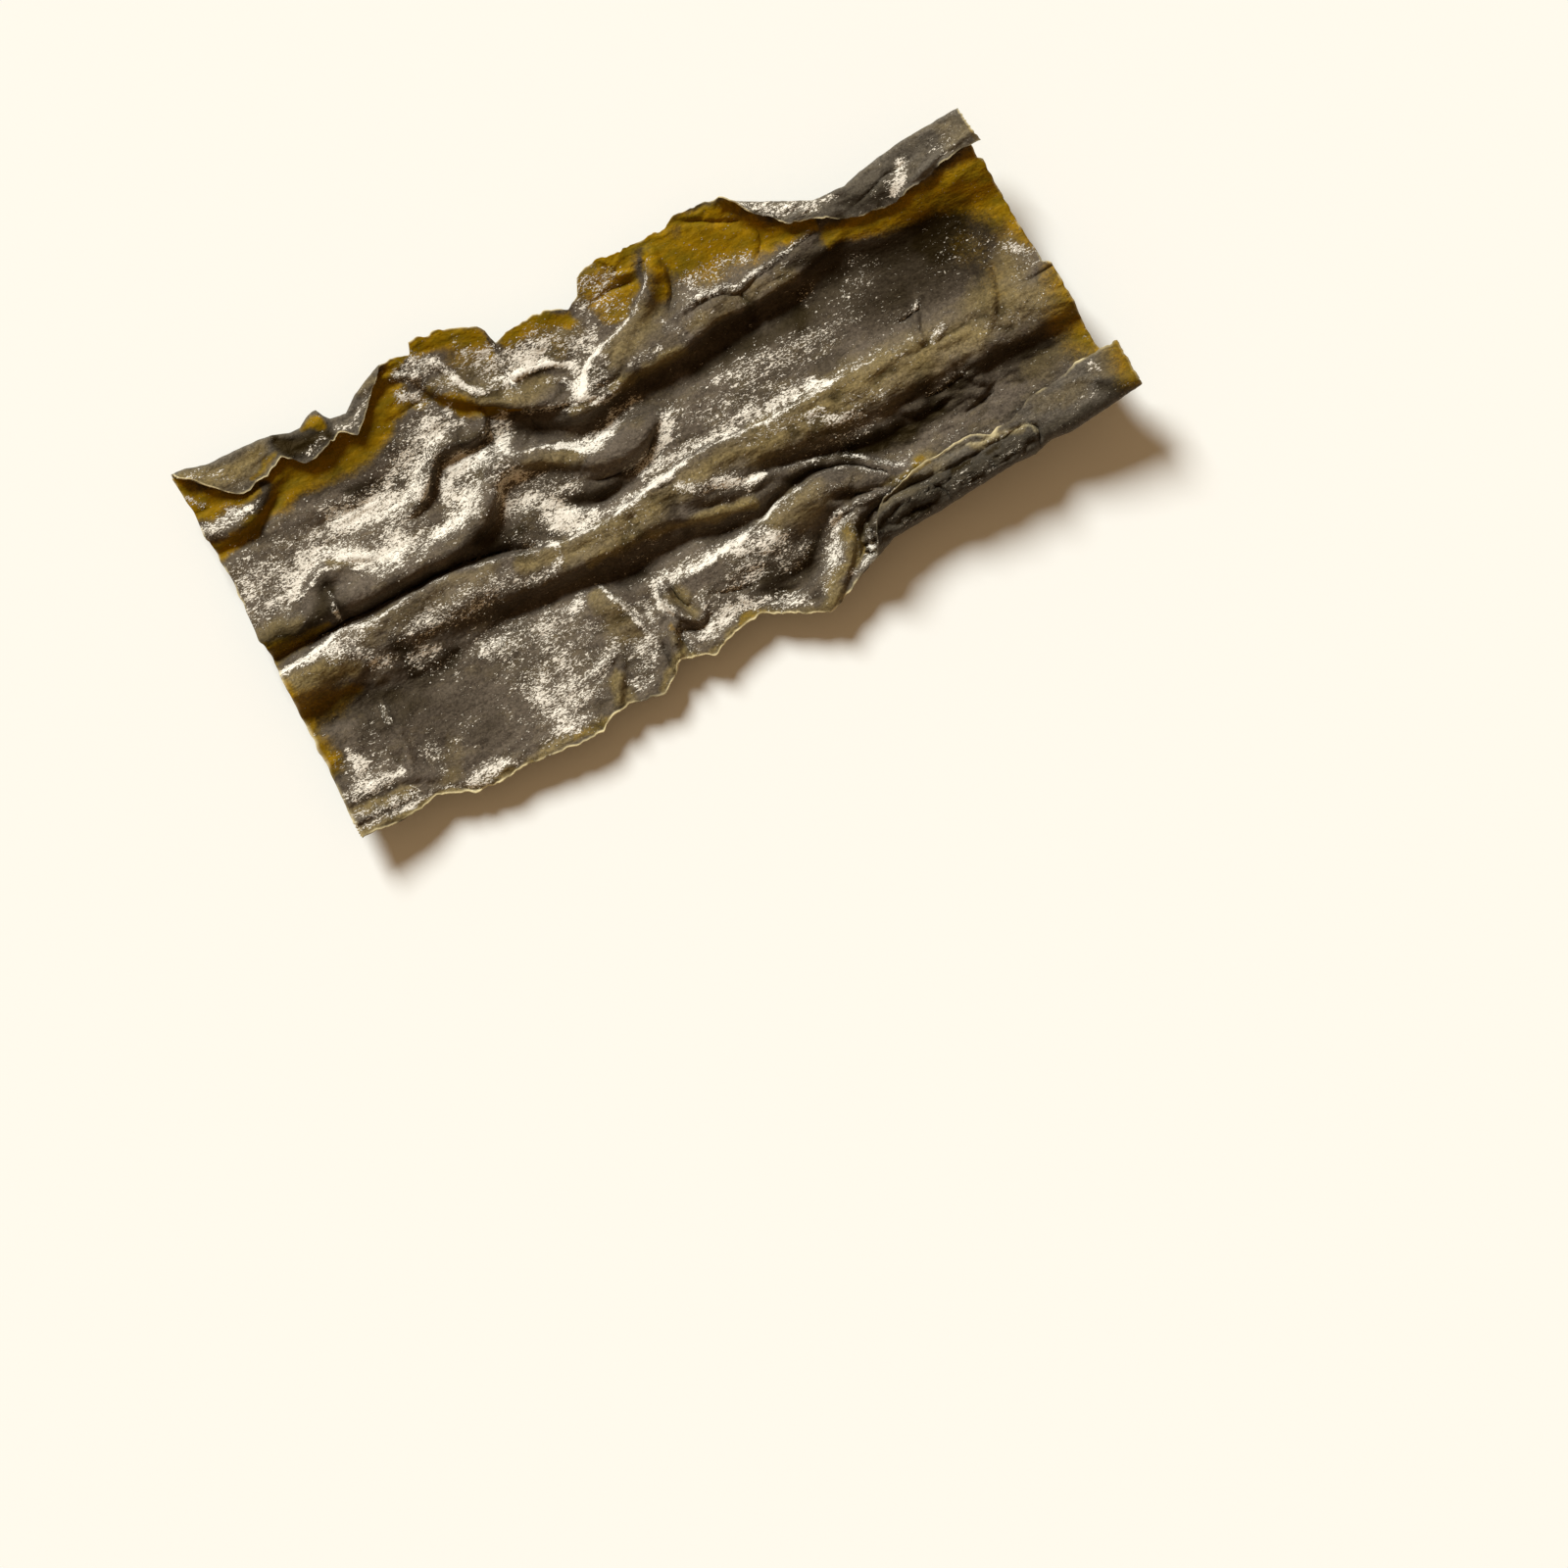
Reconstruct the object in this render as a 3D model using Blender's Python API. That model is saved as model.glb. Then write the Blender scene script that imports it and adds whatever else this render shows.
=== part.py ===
"""A cut sheet of dried kelp, lying as it dried.

The blade is about 20 cm long and 10 cm wide, and one millimetre thick. It shrank into long folds that run
from end to end, its far edge is turned over near both ends, and its near edge is rolled over on the right.

Frame: +X along the blade, +Y across it, +Z up. The origin is on the ground under the middle.

The sheet is worked out in three steps. Its plan is the stretch between two torn edges and two cut ends.
Each long edge is then turned over about a hinge line, as far as its stations say. Last, the whole sheet is
raised and lowered by its sag, by the folds that run across it, and by fine wrinkles.
"""

import math
from dataclasses import dataclass

import bpy
import numpy as np

MM = 0.001  # every size below is in millimetres, and the mesh is in metres

# Driving sizes
THICKNESS = 1.0
RIGHT_LIFT = 8.5  # rise of the right-hand end, which curled up most as it dried
LEFT_LIFT = 3.5  # rise of the left-hand end
FAR_LIFT = 4.0  # rise of the far edge, less of it near both ends
NEAR_LIFT = 2.0  # rise of the near edge
FOLD_FADE = 9.0  # distance over which a fold dies out at its tip

# How finely the sheet is divided
COLUMNS = 66
MAIN_ROWS = 23
TURN_ROWS = 6

WRINKLE_HEIGHT = 0.35
WRINKLE_PITCH = (19.0, 7.5)  # along and across the blade

# The two cut ends: how far along the blade they lie, at shares of the way from the near edge to the far one
END_SHARES = (0.0, 0.14, 0.42, 0.52, 0.85, 1.0)
LEFT_END = (-100.0, -99.6, -99.0, -99.5, -99.3, -99.8)
RIGHT_END = (109.2, 104.4, 104.2, 102.4, 100.8, 101.4)

# The torn edges as they look from above, from left to right
FAR_EDGE = (
    (-106, 52.4), (-98, 51.8), (-90, 50.0), (-78, 49.6), (-70, 47.5), (-65, 49.3), (-61, 46.2), (-57, 45.4),
    (-50, 49.8), (-44, 51.8), (-38, 51.4), (-36, 53.4), (-26, 51.6), (-21, 48.6), (-18, 44.0), (-10, 45.6),
    (0, 43.5), (5, 47.8), (11, 49.6), (28, 49.0), (38, 50.2), (45, 47.8), (52, 43.2), (62, 38.0),
    (70, 37.3), (80, 39.5), (90, 40.4), (112, 41.2),
)
NEAR_EDGE = (
    (-106, -43.3), (-84, -43.6), (-66, -47.2), (-40, -47.7), (-31, -45.1), (-22, -46.4), (-15, -41.7),
    (-8, -44.2), (3, -41.0), (12, -43.5), (21, -47.8), (38, -41.2), (48, -39.0), (80, -37.4), (112, -35.0),
)


@dataclass(frozen=True)
class Turn:
    """One station of a turned-over edge.

    along is the station's place on the blade, angle how many degrees the edge is turned, width how much of
    the blade is turned, and radius the radius of the bend.
    """

    along: float
    angle: float
    width: float
    radius: float


FAR_TURNS = (
    Turn(-106, 80, 4.0, 1.4), Turn(-99, 120, 5.2, 1.4), Turn(-88, 170, 12, 1.4), Turn(-78, 168, 9.6, 1.4),
    Turn(-70, 168, 10.6, 1.4), Turn(-64, 150, 8.6, 1.4), Turn(-61, 135, 6.4, 1.4), Turn(-57, 162, 7.8, 1.4),
    Turn(-52, 160, 7.4, 1.4), Turn(-48, 155, 5.0, 1.4), Turn(-42, 12, 4.0, 2.0), Turn(-38, 0, 5.0, 2.5),
    Turn(41, 0, 5.0, 2.5), Turn(47, 130, 6.4, 1.5), Turn(52, 160, 8.4, 1.5), Turn(62, 165, 7.8, 1.5),
    Turn(68, 170, 10.2, 1.5), Turn(79, 172, 13.4, 1.4), Turn(90, 172, 12.4, 1.4), Turn(112, 172, 12.0, 1.4),
)
NEAR_TURNS = (
    Turn(-106, 0, 5.0, 2.5), Turn(25, 0, 5.0, 2.5), Turn(35, 70, 7.0, 2.3), Turn(42, 150, 12.0, 2.0),
    Turn(50, 168, 15.0, 2.0), Turn(65, 170, 16.0, 2.0), Turn(74, 170, 13.6, 2.0), Turn(82, 171, 13.8, 2.1),
    Turn(90, 172, 16.4, 2.3), Turn(98, 173, 17.6, 2.3), Turn(112, 173, 16.6, 2.3),
)


@dataclass(frozen=True)
class Fold:
    """A ridge or a trough along a smooth line through a few points.

    rise is the height of its crest, below zero for a trough. far and near are its half-widths on the left
    and on the right of the line.
    """

    line: tuple
    rise: float
    far: float
    near: float


FOLDS = {
    "long fold": Fold(
        ((-118, 7.8), (-80, 8.4), (-52, 7.8), (-42, 10), (-33, 17.8), (-24, 18.4), (-13, 12.0), (-5, 9.2)),
        4.2, 4.6, 4.8,
    ),
    "knob": Fold(((-16, 9.2), (-6, 9.2), (2, 11.8), (9, 16.4)), 2.8, 5.0, 4.8),
    "crevice": Fold(((-118, 2.8), (-60, 2.9), (-44, 1.2), (-30, -3.2)), -2.8, 4.0, 4.0),
    "middle ridge": Fold(
        (
            (-118, -1.4), (-80, 0.2), (-60, -0.2), (-42, -2.2), (-20, -6.2), (0, -3.9), (20, -3.0),
            (60, -4.8), (122, -7.2),
        ),
        2.9, 4.4, 8.5,
    ),
    "middle hollow": Fold(((-72, -16), (-45, -14.4), (-15, -17), (10, -19.4), (42, -19.6)), -2.4, 4.6, 5.2),
    "pleat": Fold(((12, -15.4), (24, -13.6), (40, -16.8), (52, -25.2), (62, -26.4)), 2.6, 4.4, 4.4),
    "right trough": Fold(((20, -10.8), (38, -14.6), (56, -18.2), (82, -16.4), (122, -16)), -2.6, 4.4, 5.5),
    "lower ridge": Fold(((-14, -25.7), (8, -24.6), (24, -20.6), (38, -20.6), (51, -28.4)), 3.6, 4.4, 8.0),
    "lower hollow": Fold(((0, -37.4), (15, -38), (23, -36), (33, -28)), -2.4, 4.8, 4.8),
    "gusset": Fold(((23, -48), (31, -38.5), (37, -31.4), (46, -30.4)), 2.0, 4.4, 4.4),
    "left trough": Fold(((-118, -12.2), (-80, -13.6), (-60, -17.6)), -2.4, 4.6, 5.5),
    "bent ridge": Fold(((-59, 16.6), (-49, 22.4), (-43, 28), (-34, 27.4), (-30, 35)), 2.2, 4.6, 4.6),
    "drape": Fold(((-42, 50), (-33, 39.2), (-22, 31.4), (-8, 24)), 3.2, 4.8, 4.6),
    "drape gully": Fold(((-40, 41.8), (-31, 33.0), (-21, 27.6), (-10, 23.0)), -1.0, 4.4, 4.6),
    "shoulder": Fold(((-22, 29), (-9, 21), (14, 23.2), (32, 25.4), (50, 25.8), (66, 23.6)), 2.8, 4.8, 4.8),
    "shaded trough": Fold(
        ((-30, 24.8), (-12, 16.8), (18, 18.4), (50, 21), (78, 24.4), (122, 22)), -2.0, 4.6, 7.0,
    ),
    "diagonal ridge": Fold(((-10, 22), (2, 30.8), (15, 35.8), (23, 45)), 1.8, 4.4, 4.6),
    "left wrinkle": Fold(((-118, 39.4), (-95, 37.4), (-86, 36.6), (-72, 42)), 1.8, 4.4, 4.4),
}
LINE_STEPS = 8  # straight pieces in each stretch of a fold's smooth line


def clear_objects():
    """Remove every object, so that the model starts from nothing."""
    for item in list(bpy.data.objects):
        bpy.data.objects.remove(item, do_unlink=True)


def read_off(stations, along):
    """Values at the places along, read from (place, value) stations."""
    places, values = zip(*stations)
    return np.interp(along, places, values)


def smooth_line(points):
    """A Catmull-Rom curve through the plan points, as a row of plan points."""
    knots = np.array(points, dtype=float)
    knots = np.vstack([2 * knots[0] - knots[1], knots, 2 * knots[-1] - knots[-2]])
    step = np.linspace(0.0, 1.0, LINE_STEPS, endpoint=False)[:, None]
    curve = []
    for before, start, end, after in zip(knots, knots[1:], knots[2:], knots[3:]):
        straight = 2 * start + (end - before) * step
        bend = (2 * before - 5 * start + 4 * end - after) * step**2
        twist = (3 * start - before - 3 * end + after) * step**3
        curve.append((straight + bend + twist) / 2)
    curve.append(knots[-2][None])
    return np.vstack(curve)


def beside_line(curve, x, y):
    """The distance of each plan point to the curve, above zero on the left, and its place along it."""
    pieces = np.diff(curve, axis=0)
    lengths = np.hypot(*pieces.T)
    starts = np.concatenate([[0.0], np.cumsum(lengths)])
    nearest = np.full(x.shape, np.inf)
    side, place = np.zeros(x.shape), np.zeros(x.shape)
    for start, piece, length, travelled in zip(curve, pieces, lengths, starts):
        from_x, from_y = x - start[0], y - start[1]
        share = np.clip((from_x * piece[0] + from_y * piece[1]) / length**2, 0.0, 1.0)
        distance = np.hypot(from_x - share * piece[0], from_y - share * piece[1])
        turning = piece[0] * from_y - piece[1] * from_x
        closer = distance < nearest
        nearest = np.where(closer, distance, nearest)
        side = np.where(closer, np.where(turning < 0, -1.0, 1.0), side)
        place = np.where(closer, travelled + share * length, place)
    return nearest * side, place, starts[-1]


def fold_height(fold, x, y):
    """How far one fold raises each plan point."""
    distance, place, length = beside_line(smooth_line(fold.line), x, y)
    reach = np.where(distance > 0, fold.far, fold.near)
    profile = np.exp(-2.6 * (np.abs(distance) / reach) ** 2)
    fade = np.clip(np.minimum(place, length - place) / FOLD_FADE, 0.0, 1.0)
    return fold.rise * profile * fade * fade * (3 - 2 * fade)


def sag(x, y):
    """Height of the sheet without its folds: lifted at the ends and along both edges, and gently wavy."""
    right = np.clip((x - 30) / 78, 0.0, 1.2) ** 2
    left = np.clip((-60 - x) / 42, 0.0, 1.2) ** 2
    flatter = 0.7 * np.clip((x - 40) / 35, 0.0, 1.0) + 0.35 * np.clip((-30 - x) / 30, 0.0, 1.0)
    far = (1 - flatter) * np.clip((y - 18) / 32, 0.0, 1.2) ** 2
    near = np.clip((-22 - y) / 25, 0.0, 1.2) ** 2
    waves = 1.2 * np.sin(x / 17 + 0.6) * np.cos(y / 23 + 0.4)
    return RIGHT_LIFT * right + LEFT_LIFT * left + FAR_LIFT * far + NEAR_LIFT * near + waves


def wrinkles(x, y):
    """Shallow wrinkles, longer along the blade than across it."""
    along, across = x / WRINKLE_PITCH[0], y / WRINKLE_PITCH[1]
    drift = np.sin(2 * along + 0.7) + 0.6 * np.sin(3.1 * along - across)
    return WRINKLE_HEIGHT * np.sin(2 * math.pi * across + drift) * np.cos(along * 2.3 + 0.5 * across)


def turn_values(turns, along):
    """Angle in radians, width and radius of a turned edge at the places along."""
    angle = np.radians(read_off([(turn.along, turn.angle) for turn in turns], along))
    width = read_off([(turn.along, turn.width) for turn in turns], along)
    radius = read_off([(turn.along, turn.radius) for turn in turns], along)
    return angle, width, radius


def rolled(turns, along, share):
    """Where the point a share of the way along a turned edge lies: how far past the hinge, and how high."""
    angle, width, radius = turn_values(turns, along)
    travelled = share * width
    bent = np.minimum(travelled / radius, angle)
    straight = travelled - radius * bent
    out = radius * np.sin(bent) + straight * np.cos(bent)
    up = radius * (1 - np.cos(bent)) + straight * np.sin(bent)
    return out, up


def widest(turns, along):
    """How far past its hinge a turned edge shows from above."""
    angle, width, radius = turn_values(turns, along)
    bulge = radius * np.sin(np.minimum(angle, math.pi / 2))
    beyond = np.maximum(width - radius * angle, 0.0) * np.cos(angle)
    return bulge + np.maximum(beyond, 0.0)


def plan_grid():
    """Shares of the way along and across for every point, 0 to 1 on the sheet and the edges outside."""
    near = np.linspace(-1.0, 0.0, TURN_ROWS + 1)[:-1]
    main = np.linspace(0.0, 1.0, MAIN_ROWS + 1)
    far = np.linspace(1.0, 2.0, TURN_ROWS + 1)[1:]
    return np.meshgrid(np.linspace(0.0, 1.0, COLUMNS + 1), np.concatenate([near, main, far]), indexing="ij")


def sheet_points():
    """The middle surface of the sheet, as a grid of points in millimetres."""
    along, across = plan_grid()
    on_sheet = np.clip(across, 0.0, 1.0)
    left, right = np.interp(on_sheet, END_SHARES, LEFT_END), np.interp(on_sheet, END_SHARES, RIGHT_END)
    x = left + (right - left) * along
    far_hinge = read_off(FAR_EDGE, x) - widest(FAR_TURNS, x)
    near_hinge = read_off(NEAR_EDGE, x) + widest(NEAR_TURNS, x)
    far_out, far_up = rolled(FAR_TURNS, x, np.clip(across - 1, 0.0, 1.0))
    near_out, near_up = rolled(NEAR_TURNS, x, np.clip(-across, 0.0, 1.0))
    y = near_hinge + (far_hinge - near_hinge) * on_sheet + far_out - near_out
    folded = sum(fold_height(fold, x, y) for fold in FOLDS.values())
    return np.stack([x, y, far_up + near_up + sag(x, y) + wrinkles(x, y) + folded], axis=-1)


def grid_faces(columns, rows):
    """The quads of a grid whose points run row by row inside each column."""
    index = np.arange(columns * rows).reshape(columns, rows)
    corners = (index[:-1, :-1], index[1:, :-1], index[1:, 1:], index[:-1, 1:])
    return np.stack(corners, axis=-1).reshape(-1, 4)


def kelp_material():
    """Dry kelp: dark olive brown with a dull gloss."""
    material = bpy.data.materials.new("dried_kelp")
    material.use_nodes = True
    shader = material.node_tree.nodes["Principled BSDF"]
    shader.inputs["Base Color"].default_value = (0.085, 0.062, 0.028, 1.0)
    shader.inputs["Roughness"].default_value = 0.5
    shader.inputs["Metallic"].default_value = 0.0
    return material


def stand_on_ground(sheet):
    """Move the mesh so that the finished sheet is centred over the origin and stands on the ground."""
    bpy.context.view_layer.update()
    finished = sheet.evaluated_get(bpy.context.evaluated_depsgraph_get())
    corners = np.array([corner[:] for corner in finished.bound_box])
    low, high = corners.min(axis=0), corners.max(axis=0)
    middle = (low + high) / 2
    for vertex in sheet.data.vertices:
        vertex.co.x -= middle[0]
        vertex.co.y -= middle[1]
        vertex.co.z -= low[2]


def build_sheet():
    """The whole sheet as one solid."""
    points = sheet_points() * MM
    mesh = bpy.data.meshes.new("kelp_sheet")
    mesh.from_pydata(points.reshape(-1, 3).tolist(), [], grid_faces(*points.shape[:2]).tolist())
    mesh.materials.append(kelp_material())
    mesh.shade_smooth()
    sheet = bpy.data.objects.new("kelp_sheet", mesh)
    bpy.context.scene.collection.objects.link(sheet)
    body = sheet.modifiers.new("thickness", "SOLIDIFY")
    body.thickness = THICKNESS * MM
    body.offset = 0.0
    stand_on_ground(sheet)


clear_objects()
build_sheet()
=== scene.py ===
"""Looks of a sheet of dried kelp: the folded blade itself and the white bloom of salts on it.

The blade is worked out like its solid: a flat plan between two torn edges and two cut ends, long edges that
are turned over about their hinge lines, and folds that run across the whole sheet. Plan sizes are in
millimetres, and everything is brought into the frame's metres when a mesh is made.
"""

import logging
import math
from dataclasses import dataclass, field
from enum import Enum

import bpy
import numpy as np
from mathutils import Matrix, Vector


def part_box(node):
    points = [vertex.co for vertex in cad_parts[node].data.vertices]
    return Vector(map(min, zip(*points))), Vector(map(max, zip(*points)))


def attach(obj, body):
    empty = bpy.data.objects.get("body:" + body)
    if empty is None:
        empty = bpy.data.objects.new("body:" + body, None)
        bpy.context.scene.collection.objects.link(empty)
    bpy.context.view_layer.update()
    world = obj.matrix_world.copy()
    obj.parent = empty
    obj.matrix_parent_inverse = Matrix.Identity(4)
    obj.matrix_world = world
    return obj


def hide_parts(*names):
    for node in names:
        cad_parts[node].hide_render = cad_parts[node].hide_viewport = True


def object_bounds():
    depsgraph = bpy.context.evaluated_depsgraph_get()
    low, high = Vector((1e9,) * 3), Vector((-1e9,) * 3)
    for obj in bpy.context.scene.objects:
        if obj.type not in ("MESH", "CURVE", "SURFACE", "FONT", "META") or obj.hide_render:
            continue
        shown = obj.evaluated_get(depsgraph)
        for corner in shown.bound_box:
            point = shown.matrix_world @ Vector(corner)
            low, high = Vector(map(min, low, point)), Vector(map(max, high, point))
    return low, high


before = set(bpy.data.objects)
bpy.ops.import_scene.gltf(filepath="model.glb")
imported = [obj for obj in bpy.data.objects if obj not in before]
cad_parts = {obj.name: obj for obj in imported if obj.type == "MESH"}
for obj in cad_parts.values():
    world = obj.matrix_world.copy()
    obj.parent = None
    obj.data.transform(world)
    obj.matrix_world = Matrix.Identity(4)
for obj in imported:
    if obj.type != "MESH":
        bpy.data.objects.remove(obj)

CAD_BOUNDS = [list(corner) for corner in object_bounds()]
MM = 0.001
NODE = "kelp_sheet"

Array = np.ndarray
Tree = bpy.types.NodeTree
Socket = bpy.types.NodeSocket

log = logging.getLogger("dried_kelp")


# ---- Lines and patterns on the flat sheet ----

# How many knots the noise has each way before it comes round again
LATTICE = 256


def smooth_curve(points: tuple, steps: int = 8) -> Array:
    """Draw a Catmull-Rom curve through a row of points.

    Args:
        points: The points, each with two or more numbers.
        steps: Straight pieces between two neighbouring points.

    Returns:
        The curve's points, one to a row.
    """
    knots = np.array(points, dtype=float)
    knots = np.vstack([2 * knots[0] - knots[1], knots, 2 * knots[-1] - knots[-2]])
    step = np.linspace(0.0, 1.0, steps, endpoint=False)[:, None]
    rows = []
    for before, start, end, after in zip(knots, knots[1:], knots[2:], knots[3:]):
        straight = 2 * start + (end - before) * step
        bend = (2 * before - 5 * start + 4 * end - after) * step**2
        twist = (3 * start - before - 3 * end + after) * step**3
        rows.append((straight + bend + twist) / 2)
    rows.append(knots[-2][None])
    return np.vstack(rows)


def near_line(points: tuple, x: Array, y: Array, reach: float) -> Array:
    """Find the plan points that lie within reach of the box round a line.

    Args:
        points: The line's points, with their places along and across the blade first.
        x: Places along the blade.
        y: Places across the blade.
        reach: How far outside the box still counts.

    Returns:
        True for each plan point that is near enough.
    """
    knots = np.array(points)
    near = np.full(x.shape, True)
    for column, places in enumerate((x, y)):
        near &= (places > knots[:, column].min() - reach) & (places < knots[:, column].max() + reach)
    return near


def beside_curve(curve: Array, x: Array, y: Array) -> tuple[Array, Array, Array]:
    """Measure how plan points lie beside a curve.

    Args:
        curve: Rows of x, y and a value that changes along the curve.
        x: Places along the blade.
        y: Places across the blade.

    Returns:
        The distance to the curve, above zero on its left, the curve's value at the nearest place, and the
        direction to the left there.
    """
    nearest = np.full(x.shape, np.inf)
    side = np.ones(x.shape)
    value = np.zeros(x.shape)
    left = np.zeros(x.shape + (2,))
    for start, end in zip(curve, curve[1:]):
        run = end[:2] - start[:2]
        length = max(float(np.hypot(*run)), 1e-6)
        from_x, from_y = x - start[0], y - start[1]
        share = np.clip((from_x * run[0] + from_y * run[1]) / length**2, 0.0, 1.0)
        distance = np.hypot(from_x - share * run[0], from_y - share * run[1])
        closer = distance < nearest
        nearest = np.where(closer, distance, nearest)
        side = np.where(closer, np.where(run[0] * from_y < run[1] * from_x, -1.0, 1.0), side)
        value = np.where(closer, start[2] + share * (end[2] - start[2]), value)
        left[closer] = (-run[1] / length, run[0] / length)
    return nearest * side, value, left


def smooth_step(low: float, high: float | Array, value: Array) -> Array:
    """Rise smoothly from 0 at low to 1 at high."""
    share = np.clip((value - low) / (high - low), 0.0, 1.0)
    return share * share * (3 - 2 * share)


def cell_noise(x: Array, y: Array, cell: float, seed: int) -> Array:
    """Make smooth noise on the plan.

    Args:
        x: Places along the blade.
        y: Places across the blade.
        cell: Size of one hump, in the same unit as x and y.
        seed: Which noise.

    Returns:
        Values from -1 to 1.
    """
    lattice = np.random.default_rng(seed).random((LATTICE, LATTICE)) * 2 - 1
    along, across = x / cell + LATTICE / 2, y / cell + LATTICE / 2
    column, row = np.floor(along).astype(int), np.floor(across).astype(int)
    part_x, part_y = along - column, across - row
    part_x = part_x**3 * (part_x * (part_x * 6 - 15) + 10)
    part_y = part_y**3 * (part_y * (part_y * 6 - 15) + 10)
    column, row = column % (LATTICE - 1), row % (LATTICE - 1)
    low = lattice[column, row] * (1 - part_x) + lattice[column + 1, row] * part_x
    high = lattice[column, row + 1] * (1 - part_x) + lattice[column + 1, row + 1] * part_x
    return low * (1 - part_y) + high * part_y


@dataclass(frozen=True)
class Ramp:
    """A smooth rise from nothing at one value to full strength at another."""

    low: float
    high: float
    full: float = 1.0

    def at(self, value: Array) -> Array:
        """Give the strength at each value."""
        return self.full * smooth_step(self.low, self.high, value)


@dataclass(frozen=True)
class Wave:
    """One layer of noise on the plan.

    It has its height, the size of its humps in millimetres, which noise it is, how much they are squeezed
    along the blade (below 1 they are drawn out), and whether they have sharp crests and broad hollows.
    """

    height: float
    hump: float
    seed: int
    squeeze: float = 1.0
    ridged: bool = False

    def at(self, x: Array, y: Array) -> Array:
        """Give the layer's height at the plan points."""
        noise = cell_noise(x * self.squeeze, y, self.hump, self.seed)
        return self.height * (1 - 2 * np.abs(noise) if self.ridged else noise)


def layered(waves: tuple[Wave, ...], x: Array, y: Array, start: float = 0.0) -> Array:
    """Add layers of noise up, from a level to start with."""
    return sum((wave.at(x, y) for wave in waves), start)


def tearing(x: Array, seed: int, coarse: float, fine: float, fine_share: float) -> Array:
    """Make a torn line's wandering: coarse humps with a share of finer ones on them."""
    return layered((Wave(1.0, coarse, seed), Wave(fine_share, fine, seed + 1)), x, 0 * x)


class Crest(Enum):
    """How sharp a fold's crest is: the share of its width over which it is rounded."""

    KEEN = 0.12
    SHARP = 0.24
    SOFT = 0.42
    ROUND = 0.60


class Side(Enum):
    """How a fold falls away beside its crest: the power of the bell that its side follows."""

    TENT = 1.25
    BELL = 2.0
    BODY = 3.0


# A fold is worked out as far as so many half-widths, and this is how fast it dies away, as a power of e
FOLD_REACH = 2.0
FOLD_FALL = 3.0

# The bloom rubbed onto a crest: half the width of its line, how far it is looked for, how high the crest has
# to stand, and how it comes and goes
RUBBED_HALF_WIDTH = 0.7
RUBBED_REACH = 2.0
RUBBED_HEIGHT = Ramp(0.1, 0.8)
RUBBED_LEVEL = 0.85
RUBBED_PATCHES = Wave(0.5, 3.1, 91)


@dataclass(frozen=True)
class Fold:
    """A ridge or trough along a smooth line on the sheet.

    Each point of the line is its place along and across the blade and the height of the crest there,
    below zero in a trough. Far and near are the half-widths on the line's left and right. Lean is how far
    the crest hangs over to the right, as a share of its height, white is how much bloom is rubbed onto it,
    and white_at how far to the left of the line.
    """

    line: tuple[tuple[float, float, float], ...]
    far: float
    near: float
    crest: Crest = Crest.SHARP
    far_side: Side = Side.TENT
    near_side: Side = Side.TENT
    lean: float = 0.0
    white: float = 0.0
    white_at: float = 0.0

    def shift(self, x: Array, y: Array) -> Array:
        """Find how far this fold moves each plan point.

        Args:
            x: Places along the blade.
            y: Places across the blade.

        Returns:
            Shifts along, across and up, in millimetres.
        """
        moved = np.zeros(x.shape + (3,))
        inside = near_line(self.line, x, y, FOLD_REACH * max(self.far, self.near))
        if not inside.any():
            return moved
        distance, rise, left = beside_curve(smooth_curve(self.line), x[inside], y[inside])
        on_far = distance > 0
        share = np.abs(distance) / np.where(on_far, self.far, self.near)
        rounding = self.crest.value
        hyper = (np.sqrt(share**2 + rounding**2) - rounding) / (math.sqrt(1 + rounding**2) - rounding)
        power = np.where(on_far, self.far_side.value, self.near_side.value)
        height = rise * np.exp(-FOLD_FALL * hyper**power)
        moved[inside, :2] = -left * (self.lean * height)[:, None]
        moved[inside, 2] = height
        return moved

    def whitened(self, x: Array, y: Array) -> Array:
        """Give the bloom rubbed onto the crest: a thin line that comes and goes, and falls off to its sides.

        Args:
            x: Places along the blade.
            y: Places across the blade.

        Returns:
            Values from 0 to about 1 at the middle of the line.
        """
        spread = np.zeros(x.shape)
        inside = near_line(self.line, x, y, RUBBED_REACH)
        if self.white and inside.any():
            distance, rise, _ = beside_curve(smooth_curve(self.line), x[inside], y[inside])
            patchy = RUBBED_LEVEL + RUBBED_PATCHES.at(x[inside], y[inside])
            narrow = np.clip(1 - np.abs(distance - self.white_at) / RUBBED_HALF_WIDTH, 0.0, 1.0)
            spread[inside] = self.white * patchy * RUBBED_HEIGHT.at(rise) * narrow
        return spread


# A stroke's curve pieces, its least half-width, and how it fades with the distance in half-widths
STROKE_STEPS = 5
STROKE_LEAST = 0.3
STROKE_REACH = 2.0
STROKE_FADE = Ramp(0.1, 1.9)

# The most that one stroke covers, and how the strokes' outlines stray along and across the blade
STROKE_MOST = 0.999
STRAY_ALONG = (Wave(1.5, 6.5, 81), Wave(0.9, 2.4, 82))
STRAY_ACROSS = (Wave(1.1, 6.5, 83), Wave(0.7, 2.4, 84))


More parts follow.
